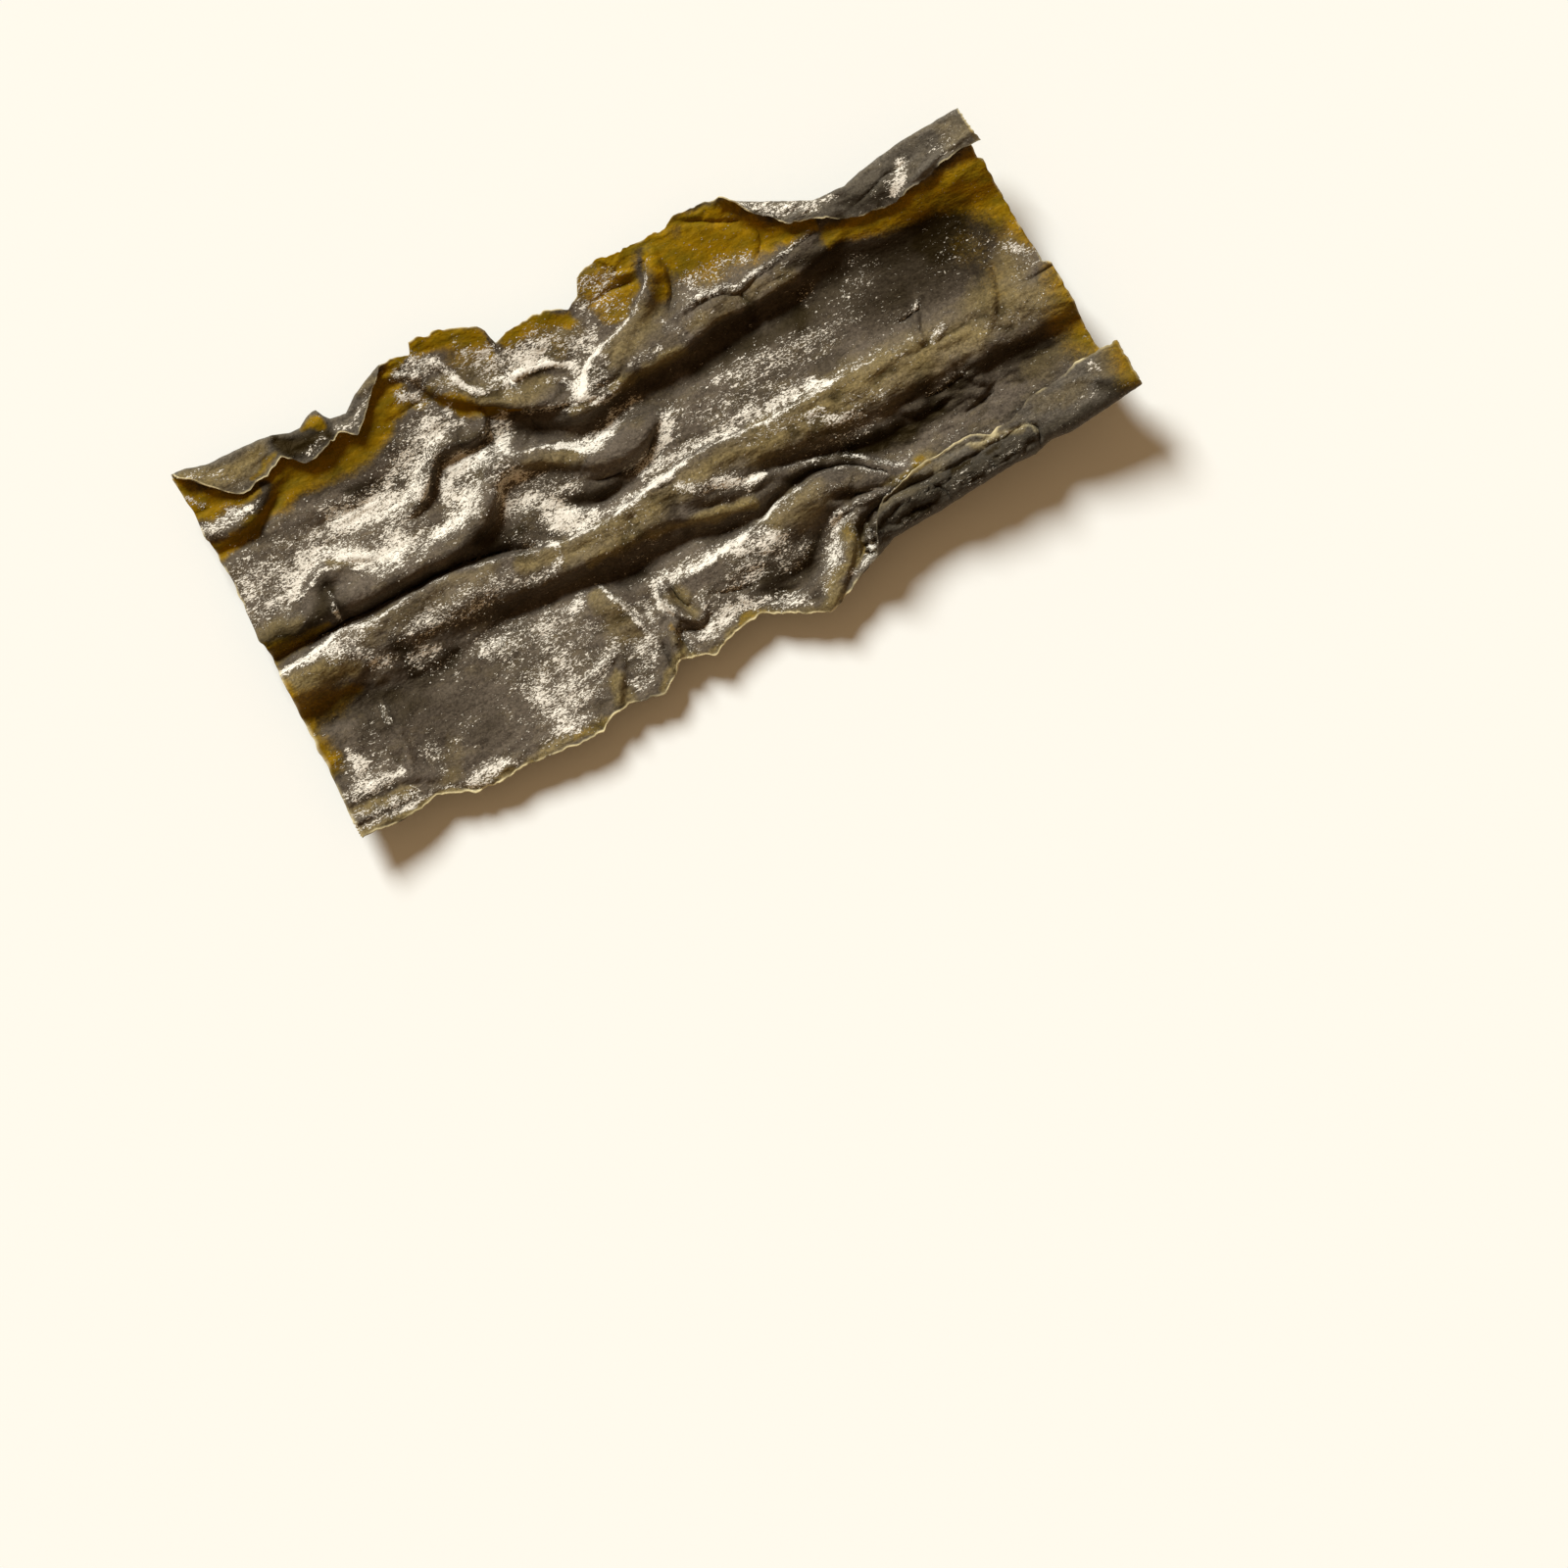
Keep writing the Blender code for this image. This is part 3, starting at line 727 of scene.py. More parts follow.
    "shoulder": Fold(((-15, 23, 0), (-12, 21.8, 1.6), (-9.4, 20.8, 2.4), (-5, 21.6, 3), (0, 22.8, 3.4),
        (6, 24.2, 3.6), (13, 24, 3.6), (19, 23.6, 3.6), (24, 25.2, 3.8), (30, 26.6, 4), (36.6, 25.6, 4),
        (43, 26.4, 4), (50, 26.6, 3.6), (56, 27.6, 2.4), (62, 29, 1.2), (68, 31, 0)), 9, 2.6, Crest.SOFT,
        Side.BELL, Side.BELL, lean=0.25),
    "shaded trough": Fold(((-26, 24.2, -1), (-20, 21.4, -2.6), (-12, 17.6, -3), (-3, 16.8, -2.8),
        (8, 19, -2.8), (20, 19.8, -2.6), (30, 21.2, -2.6), (42, 21.2, -2.6), (52, 21.4, -2),
        (60, 22.4, -1), (68, 23, 0)), 3.4, 8.5, Crest.ROUND, Side.BELL, Side.BELL),
    "far bank": Fold(((52, 36, 0), (60, 36, 2.6), (70, 35.4, 5), (84, 35.4, 5.6), (98, 35.6, 5.6),
        (114, 36, 5.6)), 12, 17, Crest.ROUND, Side.BODY, Side.BODY),
    "diagonal": Fold(((-8, 22.6, 0), (-4, 26.6, 1.8), (-0.4, 29.8, 2.4), (4, 31.6, 2.2), (10, 33.2, 2),
        (14.6, 35.4, 2.2), (18, 38.6, 2.4), (21, 42.4, 2.2), (22.4, 45, 1.2), (22.4, 48, 0)), 1.2, 5,
        Crest.KEEN, near_side=Side.BELL, white=0.7, white_at=0.3),
    "diagonal shade": Fold(((25.2, 49, -0.4), (24.6, 42, -1), (23.4, 36, -1.3), (20.4, 30.6, -0.8),
        (18.5, 27, 0)), 2.2, 1.4, Crest.SOFT),
    "seam": Fold(((20, 29.4, 0.4), (26, 31.2, 1.4), (33, 31, 1.4), (37.5, 29.8, 1.2), (42, 30.6, 1.4),
        (49, 31.2, 1.2), (54, 31.9, 0.7), (60, 33.2, 0.4), (64, 33, 0)), 0.9, 1.3, Crest.KEEN, white=0.7),
    "seam gully": Fold(((20, 28.4, 0), (26, 30.2, -0.6), (32, 30, -0.6), (37.5, 28.5, -0.9),
        (43, 29.8, -0.7), (50, 30.7, -0.6), (56, 31.8, -0.8), (62, 31.8, 0)), 0.7, 1),
    "hem crease": Fold(((66, 31.8, 0), (72, 33.2, -0.7), (78, 34.8, -0.9), (85, 36, -0.6), (89, 36.2, 0)),
        0.7, 1),
    "hem line": Fold(((82, 30.4, 0), (88, 32.4, 0.7), (94, 33.8, 0.7), (102, 34.6, 0.4)), 0.8, 1),
    "seam nick": Fold(((37.4, 29.6, -0.6), (37.2, 27.6, -1.4), (38.4, 25.4, -1), (38.4, 23.6, 0)), 1.1,
        1.2, Crest.SOFT),
    "far crease": Fold(((31, 49.6, 0), (35, 47.6, -0.7), (40, 45, -1), (45, 42.8, -1.3),
        (49, 40.4, -0.7)), 0.9, 1.4),
    "far arc": Fold(((40.6, 43, 0), (44.5, 41.6, -0.7), (47.6, 38.6, -1.1), (46.8, 34.8, -1.1),
        (42.4, 31.8, -0.5)), 1.1, 1.8, Crest.SOFT),
    "loop low": Fold(((4, 41.4, 0), (9, 42.2, -1), (14, 42.4, -1.2), (18.4, 41.6, 0)), 1, 1.6, Crest.SOFT),
    "loop high": Fold(((11.6, 50, 0.6), (13.6, 47.6, 1), (13.2, 45.2, 1), (16.4, 44.2, 0.8),
        (19.6, 44, 0)), 1, 1.1, white=0.3),
    "left arc": Fold(((-104, 36.6, 1.4), (-98, 35.8, 1.9), (-93, 34.4, 2.2), (-88, 35, 2.2),
        (-84, 37.4, 1.8), (-80, 40, 1.1), (-72, 41.2, 0)), 4, 2, far_side=Side.BELL, lean=0.3),
    "left gully": Fold(((-104, 31.2, -1.2), (-92, 31, -1.5), (-85, 33, -1.3), (-80, 37, -0.8),
        (-72, 39.4, 0)), 2, 3.6, Crest.SOFT),
    "valley": Fold(((-44, 30, 0), (-52, 27, -1.4), (-60, 24, -2.2), (-68, 23, -2), (-78, 23, -1),
        (-90, 24, 0)), 6.5, 6.5, Crest.ROUND, Side.BELL, Side.BELL),
    # small marks on the smooth right-hand part
    "nick line": Fold(((65.4, 4.4, 0), (68, 4.2, -1.6), (71, 4.6, -1.6), (73, 5.4, 0)), 0.7, 1),
    "nick arc": Fold(((74, 7.8, 0), (71.8, 5.4, 1.1), (69.8, 1.6, 1.5), (69.2, -2, 1.2), (70.5, -4.6, 0)),
        1.4, 1.1, white=0.25),
    "nick white": Fold(((71, -4.2, 0), (72.6, -3, 0.9), (74.6, -2, 0.8), (76.4, -1.8, 0)), 1.2, 1.2,
        white=0.25),
    "gouge": Fold(((70, -22, 0), (73.6, -21.6, -1.6), (77, -20.8, -1.4), (79.6, -20, 0)), 0.8, 1.3),
    "right wave": Fold(((78, -10, 0.3), (84, -6.4, 1), (87.4, -1, 1.7), (89.4, 6, 1.3), (90, 13, 0)), 2,
        2.6, Crest.SOFT, Side.BELL, Side.BELL),
    "end slit": Fold(((94, -1.9, 0), (100, -1.5, -1.2), (106, -1.2, -1.4)), 0.5, 0.7),
    "crumple high": Fold(((62, -14, 0), (67, -14.4, -1.3), (73, -13.6, -1.3), (78, -12.6, 0)), 0.8, 1.2),
    "crumple low": Fold(((63, -17.6, 0), (67, -15.9, 1.2), (71.6, -17, 1.3), (75, -19.4, 1.1),
        (77, -22, 0)), 1, 1.2),
    "crumple side": Fold(((73, -12.4, 0), (75.2, -13.8, 1.2), (76.6, -16.6, 1.2), (79.6, -18.6, 0)), 1,
        1.2),
}


# ---- What lies where on the sheet, as soft strokes: how strong each is, and its line ----

# Where the skin is crumpled more or less than the rest
CRUMPLED = strokes(
    (1, (38, -37, 3.4), (50, -35, 3.4), (66, -34, 3.4), (80, -34.5, 2.4)),
    (0.6, (62, -15, 3), (76, -15, 4)),
    (0.7, (48, 43, 2), (58, 37, 2.2)),
)
CALM = strokes(
    (0.6, (-35, 49, 3.4), (-27, 48, 4), (-22, 45, 3)),
    (0.6, (-13, 43, 3), (-4, 42, 3)),
    (0.6, (8, 45, 4), (10, 38, 4), (15, 43, 3)),
    (0.7, (19, -24, 3), (30, -24, 3.4)),
    (0.7, (72, 38, 4), (101, 39, 4)),
    (0.9, (24, 11, 6), (45, 10, 8), (70, 10, 9), (98, 8, 9)),
    (0.9, (66, 24, 6), (84, 24, 6), (100, 24, 6)),
    (0.85, (-72, -24, 9), (-58, -32, 8)),
    (0.8, (-72, 6.5, 3), (-45, 7, 3)),
    (0.8, (-76, 37, 4), (-56, 38, 4)),
    (0.8, (28, 40, 6), (40, 38, 6)),
    (0.6, (85, 36, 4), (101, 36, 4)),
    (0.8, (88, -30, 5), (106, -30, 5)),
)

# Where the underside's own layers have parted and left a pale line
PARTED = strokes(
    (0.35, (67, -28.6, 0.3), (70, -29.6, 0.3), (74, -30.2, 0.3)),
    (0.42, (76, -30.4, 0.3), (80, -30.9, 0.3), (82, -32.2, 0.3), (82.4, -33.6, 0.3)),
    (0.8, (70.8, -27.2, 0.4), (73.4, -28.9, 0.8), (75.8, -27.4, 0.4)),
)

# White bloom: about how much of the skin each stroke hides
BLOOM = strokes(
    # the far left: wide dusting, thick where it has gathered in the valley and along the long fold
    (0.68, (-102, 20.4, 5.8), (-86, 20.8, 4.8), (-78, 21.6, 3.2)),
    (0.62, (-71, 22.6, 3.6), (-60, 24, 4.2)),
    (0.62, (-98, 14, 3.5), (-92, 14.5, 3), (-87, 17, 2)),
    (0.26, (-80, 21.5, 3.5), (-70, 20, 4.5), (-60, 19, 4.5)),
    (0.82, (-71, 28, 2.2), (-66.6, 27.6, 2.2)),
    (0.88, (-71, 26, 2.4), (-66, 23.6, 3), (-60, 22, 3)),
    (0.97, (-89, 13.6, 1.6), (-83, 18, 1.4), (-78, 19.4, 1.8), (-73, 18, 1.8), (-68, 12.8, 3.2),
     (-60, 12, 2.8), (-50, 11.6, 2.2), (-44, 13, 2.8), (-39.6, 17.4, 2.6)),
    (0.84, (-56, 27.6, 1.8), (-53, 28.8, 2.6), (-48, 30.8, 2.8), (-41, 32.6, 2.6)),
    (0.26, (-56, 24, 4), (-48, 31, 4.6), (-40, 35, 3.6)),
    (0.5, (-61, 16.2, 2), (-54, 16, 2)),
    (0.85, (-52, 23, 1.6), (-48.4, 27.4, 1.2), (-45, 29.4, 1)),
    (0.6, (-55, 20.6, 2.2), (-50, 22.6, 1.6)),
    (0.95, (-45, 18, 2), (-42, 21.4, 3.6), (-35, 22.4, 2.8), (-28, 22, 2.2)),
    (0.56, (-42, 30.8, 1.8), (-37, 31, 1.2), (-33.6, 30.6, 1.4)),
    (0.8, (-34.6, 35.4, 1.2), (-37, 33.4, 1)),
    (0.64, (-98, 37.4, 1.6), (-92, 36.8, 2), (-87, 36.4, 1.2)),
    (0.5, (-98, 46, 1), (-96, 43.6, 0.9)),
    (0.2, (-96, 28, 2.4), (-84, 28, 3.2), (-72, 30.6, 2.4)),
    (0.8, (-44, 43.4, 1.8), (-41, 41.4, 1.8)),
    (0.28, (-44, 36, 2.6), (-38, 38, 2.4)),
    # in and round the loop
    (0.86, (-29, 7.4, 3), (-25.6, 2.6, 3.8), (-22, -1.6, 3), (-18, -3, 1.6)),
    (0.74, (-34, 9.6, 2.4), (-33.6, 15, 2.8), (-28.6, 16, 2.6)),
    (0.62, (-19, -3.2, 1.6), (-12, -3.6, 1.5), (-6, -3, 1.4), (0, -1.8, 1.2)),
    (0.58, (-28, 14, 3), (-22, 9.5, 3.4), (-17, 6, 1.8)),
    (0.3, (-37, 8, 3), (-35.5, 1.6, 3)),
    (0.6, (-34.6, -2.2, 1.2), (-30.6, -2.6, 1.4)),
    (0.9, (-17, 16.2, 0.8), (-14, 14.6, 1.2), (-11, 13.2, 2.2), (-6, 13.6, 2), (-3, 15, 1)),
    (0.72, (-27, 24.6, 1.8), (-28.8, 27, 2.2), (-25, 28.4, 1.6)),
    (0.72, (-5, 3.4, 1.3), (2, 3.8, 1.6)),
    (0.84, (6.2, 8.6, 2), (9, 10.4, 2.2), (4.6, 5.6, 1.5)),
    # the far lobes and the drape
    (0.74, (-37.6, 49, 1.5), (-34.4, 47.4, 1.9), (-31.8, 43.4, 1), (-29.8, 39.2, 0.7), (-26.8, 36.4, 0.6)),
    (0.48, (-37.4, 44, 2.4), (-35, 42, 2.2), (-32, 40, 1.8)),
    (0.66, (-41.6, 48, 1.8), (-37.6, 46, 2.2)),
    (0.46, (-27.6, 48.6, 1.8), (-26, 43.6, 2.8), (-24, 39.6, 2.6)),
    (0.97, (-21.4, 42, 3.1), (-19.4, 38.8, 4.9), (-12.4, 38.8, 3.2)),
    (0.8, (-21, 38, 1.4), (-15, 35.8, 1.6), (-10, 37.4, 1.2)),
    (0.86, (-20.6, 35.8, 0.9), (-14, 35.6, 0.8), (-8, 33.9, 0.8), (-4.6, 31, 0.9)),
    (0.5, (-10, 41, 2.2), (-4, 37.4, 3.6), (0, 34.6, 2.6)),
    (0.4, (-8.6, 44, 0.9), (-9.6, 41, 1.2)),
    (0.3, (-15, 30.6, 1), (-9.6, 30, 1.2), (-7.4, 27, 0.9)),
    (0.54, (3, 44, 1.3), (3.4, 39, 1.7), (1.6, 35.4, 2), (-2.6, 31.6, 1.9), (-4.8, 27.6, 1.2)),
    (0.68, (-9, 22.8, 0.9), (-4, 27.2, 1), (1, 30.8, 1)),
    (0.66, (-6.4, 24.2, 1.6), (-1.6, 25.6, 2.2), (1.4, 28.6, 2)),
    (0.38, (7, 47, 3), (9, 41, 4), (10, 36, 3.6)),
    (0.34, (8, 47.6, 2.2), (12.6, 45.8, 2.4)),
    (0.62, (8, 26.2, 1), (14.6, 25.4, 1)),
    (0.5, (19.4, 30.6, 1), (20.4, 27, 0.9)),
    (0.52, (26, 34.2, 2.2), (31, 34.8, 3), (41, 34, 2.8)),
    (0.08, (26, 40, 3), (36, 40, 3.4), (41, 41.4, 2.4)),
    (0.72, (-20, 27.2, 0.8), (-15, 25.6, 1), (-11, 23.6, 1.2)),
    (0.6, (5, 17, 1.4), (-2, 16.6, 1.8)),
    (0.7, (-5, 21.6, 1.6), (1.4, 22.6, 2)),
    # the middle of the sheet, right of the loop
    (0.38, (9, 7.6, 2.8), (20, 8.4, 4.6), (34, 7.8, 6), (47, 9, 4.6), (58, 11, 3)),
    (0.3, (22, 12, 1.6), (40, 11.8, 1.8), (54, 10.8, 1.4)),
    (0.9, (-2, 1.2, 2), (8, 1.2, 1.5), (20, 0.6, 1.7), (32, 0.7, 2.1), (41, 0.2, 1.7), (46, -1.2, 1)),
    (0.1, (20, 4.4, 2), (30, 4, 2.4), (40, 3.6, 2)),
    (0.4, (50, 20, 2), (53, 23, 1.4)),
    (0.26, (60, 17, 4), (66, 19, 3), (62, 23, 2)),
    (0.2, (82, 12, 3.6), (88, 14, 3.6), (93, 9, 3)),
    (0.5, (98, 6.4, 1.4), (101, 4.4, 1.2)),
    (0.26, (98, 9, 2.4), (100, 2, 2.8)),
    (0.2, (24, 27.6, 1.6), (36, 28, 1.6), (50, 28.6, 1.6)),
    (0.34, (46, -0.6, 0.9), (58, -0.2, 0.8), (68, -0.6, 0.7)),
    (0.5, (66, 4.8, 0.7), (73, 5.6, 0.9)),
    (0.55, (72.6, -4, 0.8), (74, -2.8, 0.8), (76.4, -2.2, 0.5)),
    (0.22, (84, -7, 4), (96, -8, 3.6)),
    # the middle ridge
    (0.82, (-101, -0.8, 1.1), (-92, -0.8, 1.2), (-86, -1.2, 1.8), (-80, -1, 2.4), (-75, -1.2, 1.4)),
    (0.6, (-86, -3.4, 1.8), (-80, -4.8, 2.2), (-76, -9, 2)),
    (0.62, (-71, -11.4, 1.4), (-67, -12, 1.4), (-64.6, -12.6, 1)),
    (0.5, (-70, -6.6, 2.2), (-60, -6.4, 3.2), (-50, -7, 3), (-42, -6, 2.2)),
    (0.3, (-72, -13, 2), (-62, -17, 3), (-48, -13, 2)),
    (0.7, (-40, -8.4, 1.2), (-34, -9, 1.2), (-30.6, -7.4, 1.2), (-29.6, -4.6, 1.2)),
    (0.22, (-20, -7.4, 1.6), (-6, -6.6, 2)),
    (0.62, (-1, -2.8, 1.2), (8, -1.8, 1.1)),
    (0.82, (3, -5.6, 1), (7, -7.8, 1.5), (13, -10.4, 1.8), (18, -12.4, 1.6), (22, -12.6, 0.8)),
    (0.2, (14, -8.4, 2), (22, -9, 1.8)),
    (0.34, (22, -3.6, 1.6), (32, -4.2, 1.8), (40, -6.6, 1.6)),
    (0.74, (38, -7, 1.4), (43, -9.4, 1.2), (48.6, -10.8, 0.6)),
    (0.3, (49, -7, 2.4), (56, -7.8, 2.4)),
    (0.44, (37.4, -13, 1.5), (48, -13.6, 1.7)),
    (0.4, (65, -13.2, 1.5), (75, -13.4, 1.5)),
    # the near side
    (0.6, (-54, -18, 2.4), (-47, -18.6, 2.8), (-38, -19.4, 2.8), (-30, -18.6, 2)),
    (0.48, (-50, -24, 4), (-38, -26, 5), (-30, -25, 3)),
    (0.62, (-50, -31, 3), (-43, -33, 4.4), (-38, -30, 3)),
    (0.62, (-48, -36, 3.2), (-45, -41, 3.6), (-41, -37, 3)),
    (0.5, (-52, -44, 1.8), (-40, -43.6, 1.8)),
    (0.24, (-56, -28, 3), (-55, -38, 3)),
    (0.56, (-36, -38, 3), (-31, -33, 2.4), (-26, -31.8, 2.4)),
    (0.36, (-97, -27, 2.4), (-96, -30.6, 2.4)),
    (0.9, (-93.2, -24, 1), (-92.8, -27.6, 1.7), (-92.4, -31.6, 2.2)),
    (0.96, (-99, -33.4, 1), (-92, -33.2, 1.7), (-86, -33.8, 0.8)),
    (0.28, (-88, -22, 2.6), (-88, -30, 3)),
    (0.7, (-82.4, -19.6, 0.9), (-82, -21.6, 0.7)),
    (0.6, (-78, -32.6, 2.2), (-76.4, -36.6, 1.9)),
    (0.36, (-73, -35, 1.4), (-66, -31.4, 2.4)),
    (0.75, (-64, -19.4, 0.6), (-63.2, -21, 0.5)),
    (0.16, (-76, -2.6, 1.6), (-62, -2.4, 2), (-46, -3.4, 1.8)),
    (0.55, (-99, -38, 1.8), (-90, -38.4, 1.8), (-84.4, -38.6, 1.3)),
    (0.7, (-100, -41.4, 0.7), (-85, -41, 0.9), (-79, -40.8, 1), (-74.6, -42.8, 0.9)),
    (0.96, (-72, -43.8, 2.2), (-67, -44, 2.4), (-62, -43, 1.3)),
    (0.6, (-22.4, -21.6, 0.5), (-21.4, -25, 0.8), (-20, -29, 0.7)),
    (0.56, (-17, -26, 2), (-16, -30, 2.4), (-20, -33.6, 2.6), (-20.4, -37, 2.4)),
    (0.52, (-24, -41, 2.6), (-22.6, -36, 2.6), (-26.6, -42, 1.8)),
    (0.8, (-28, -40, 0.9), (-26.6, -42.6, 0.9)),
    (0.88, (-12, -22.6, 1), (-12.2, -27, 1), (-11.8, -31, 0.8)),
    (0.72, (-11, -22.2, 1.6), (-6, -23.2, 1.8), (0, -23.6, 1.7), (9, -23.8, 1.9)),
    (0.9, (-8, -24.6, 0.8), (0, -24.2, 0.8), (10, -24.6, 1)),
    (0.92, (6, -25.6, 1.8), (12, -26.4, 3), (18, -27.4, 2.6)),
    (0.48, (11, -31.4, 2.4), (18, -32.4, 2.4), (24, -31.6, 2)),
    (0.36, (16, -22.6, 1.1), (21, -21.8, 1.2), (27, -20.6, 0.7)),
    (0.92, (-7.6, -38, 1.9), (-2, -37.6, 2.6), (3.4, -36.6, 1.8)),
    (0.46, (-12.6, -36, 1.8), (-11.6, -40, 1.8)),
    (0.6, (-3, -31.6, 2.2), (4, -31.2, 2.8), (10, -31, 2)),
    (0.56, (6, -38, 2), (12, -39.4, 2.4), (18, -42.6, 1.8)),
    (0.66, (23, -42.2, 1.8), (27.6, -37, 1.7), (31, -33, 1.8), (33, -30.6, 1.4)),
    (0.5, (32.6, -31.4, 1.4), (36, -31, 1.4)),
    (0.66, (29, -42.4, 1), (35, -40.4, 1.2), (38, -38, 0.9)),
    (0.28, (46, -22.6, 0.8), (50, -23.8, 0.9), (55, -24, 1)),
    (0.26, (28, -22, 1.2), (34, -22.4, 1.6)),
)
TURNED_BLOOM = strokes(
    (0.96, (79, 30.8, 1.2), (82, 33, 2), (84, 36.2, 1.2)),
    (0.24, (73.6, 32.4, 1.5), (79, 32.6, 1.6)),
    (0.34, (93, 35, 2.4), (98, 37.4, 2)),
    (0.66, (46, 45.6, 1.4), (52, 42, 2), (60, 38, 2), (66, 36.2, 1.2)),
    (0.46, (-97, 50.6, 0.9), (-90, 47, 1.4), (-87, 42, 1)),
    (0.52, (-60, 44.6, 0.8), (-56, 43, 0.8), (-52, 47, 1.4)),
    (0.48, (-69, 41.4, 0.9), (-64, 43.4, 1)),
    (0.7, (100.6, -25.6, 1), (101.6, -27.6, 1.3)),
    (0.3, (94, -32, 1.6), (99, -31.6, 1.6)),
)

# Thin, clear amber stretches, and the pale ones of the underside
AMBER = strokes(
    (0.95, (-101, 45, 1.8), (-96, 42.4, 2.4), (-90, 40, 2.2), (-86, 39.4, 1.4)),
    (0.97, (-102, 33, 2.8), (-92, 31.4, 2), (-84, 33.4, 2.2), (-76, 37.6, 3.4), (-66, 38, 3.8),
     (-57, 38.4, 4), (-51, 41.6, 4.2), (-47, 46, 4.2)),
    (0.9, (-84, 41.4, 1), (-72, 42.4, 2.2), (-60, 42.4, 2.2)),
    (0.9, (-100, 49.4, 2.4), (-97, 46, 2.4), (-93, 43.6, 2)),
    (0.9, (-44, 50.6, 1.4), (-38, 50.8, 1.2)),
    (0.6, (-46, 40.2, 1.4), (-40.6, 40.2, 1.5), (-36.8, 42.2, 1.4)),
    (0.95, (-35.6, 51.6, 2.2), (-28, 50.2, 2.4), (-22, 47, 2.6), (-20.4, 43, 1.4)),
    (0.45, (-25, 45, 3.4), (-29, 45, 3)),
    (0.97, (-36.4, 39.4, 0.9), (-33.6, 36, 2.4), (-29.6, 32.8, 2.4), (-24, 30, 1.5), (-20, 28.4, 0.7)),
    (0.95, (-15, 44, 1.9), (-8, 43.4, 2.4), (-1, 41.6, 1.8)),
    (0.35, (-9, 39, 1.8), (-5, 35.6, 1.8)),
    (0.84, (8, 46.6, 4.2), (10.4, 41, 4.4), (9.4, 36.4, 2.6)),
    (0.75, (12, 49.8, 1.4), (20, 48.8, 1.4), (30, 49.8, 1.6), (34, 50.4, 1.2)),
    (0.75, (16, 47, 2.6), (15.4, 41, 2.2)),
    (0.82, (22.6, 45, 2), (21.6, 38, 2.4)),
    (0.98, (26.6, 46, 3), (31, 42, 6), (38, 40, 6.4), (45, 38, 5.4), (52, 36, 2.8), (59, 34, 1.2)),
    (0.9, (34, 48, 1.8), (41, 47.6, 2), (45, 45.4, 1.6)),
    (0.8, (60, 30, 2), (72, 27.6, 3), (86, 26.4, 4.4), (102, 24, 7)),
    (0.5, (103, 27, 3), (102.6, 20, 3.6)),
    (0.7, (101.6, 24, 8), (104, 12, 6.4), (107.4, 3, 4.8), (107, -8, 8.6), (106.8, -20, 9)),
    (0.78, (-100.4, -17, 2.8), (-98.4, -20.4, 3.4), (-99, -26, 2.4)),
    (0.85, (-101.5, 40, 1.4), (-101, 20, 1.3), (-102, 5, 2.4), (-102, -12, 2.6), (-102, -30, 1.2),
     (-102, -44, 1.4)),
    (0.16, (98, 24, 6), (97, 15, 6), (98, 8, 4)),
    (0.3, (88, 14, 3), (90, 6, 3.4), (90, 0, 3)),
    (0.55, (-102, 5, 3), (-92, 5, 2.4), (-84, 4, 1.2)),
    (0.52, (-102, -10, 4), (-92, -11.6, 3.6), (-84, -12.4, 2)),
    (0.2, (-102, -42.6, 0.9), (-85, -43.4, 0.8)),
    (0.25, (-66, -45.6, 0.9), (-58, -45.4, 0.9)),
    (0.42, (-46, -46.8, 1), (-38, -47, 1.2), (-33, -45.4, 1)),
    (0.5, (1, -40.8, 0.7), (6, -40.2, 1.2), (10, -42.2, 0.9)),
    (0.4, (-13, -33.4, 0.9), (-14.6, -37, 1)),
    (0.38, (33.6, -38.6, 0.9), (34.6, -35, 1.3), (35.4, -32.4, 1)),
    (0.6, (50, -28, 0.7), (54, -27.2, 1), (58, -26.8, 0.8)),
)
TURNED_AMBER = strokes(
    (0.97, (-67.5, 47.9, 1), (-65, 48.2, 1.5), (-63.6, 46.2, 1.3)),
    (0.6, (-84, 42.6, 0.9), (-80, 43.4, 1), (-76, 44.8, 1)),
    (0.4, (102.2, 39.6, 0.9), (102.6, 33, 0.9)),
    (0.66, (110, -24, 5.4), (110, -34, 5.4)),
    (0.5, (50, -28.4, 0.8), (58, -28, 0.9)),
)
TURNED_PALE = strokes(
    (0.85, (-98, 50.4, 1.4), (-92, 47.4, 3), (-84, 46.6, 3.4), (-79, 47, 2.2)),
    (0.4, (-52, 48.6, 1.6), (-48, 49.6, 1.6)),
    (0.3, (97, 37, 3), (102, 37, 3)),
    # the near strip's upper part painted paler where it faces the sun
    (0.3, (86, -28.5, 2.2), (95, -29, 2.4)),
    (0.7, (68, -29.4, 0.8), (74, -30.4, 0.9), (80, -31.4, 0.9)),
    (0.34, (38, -32.4, 1.8), (46, -31.4, 2.2), (58, -31.4, 2)),
    (0.5, (105, -26, 3.4), (105, -31, 3)),
)

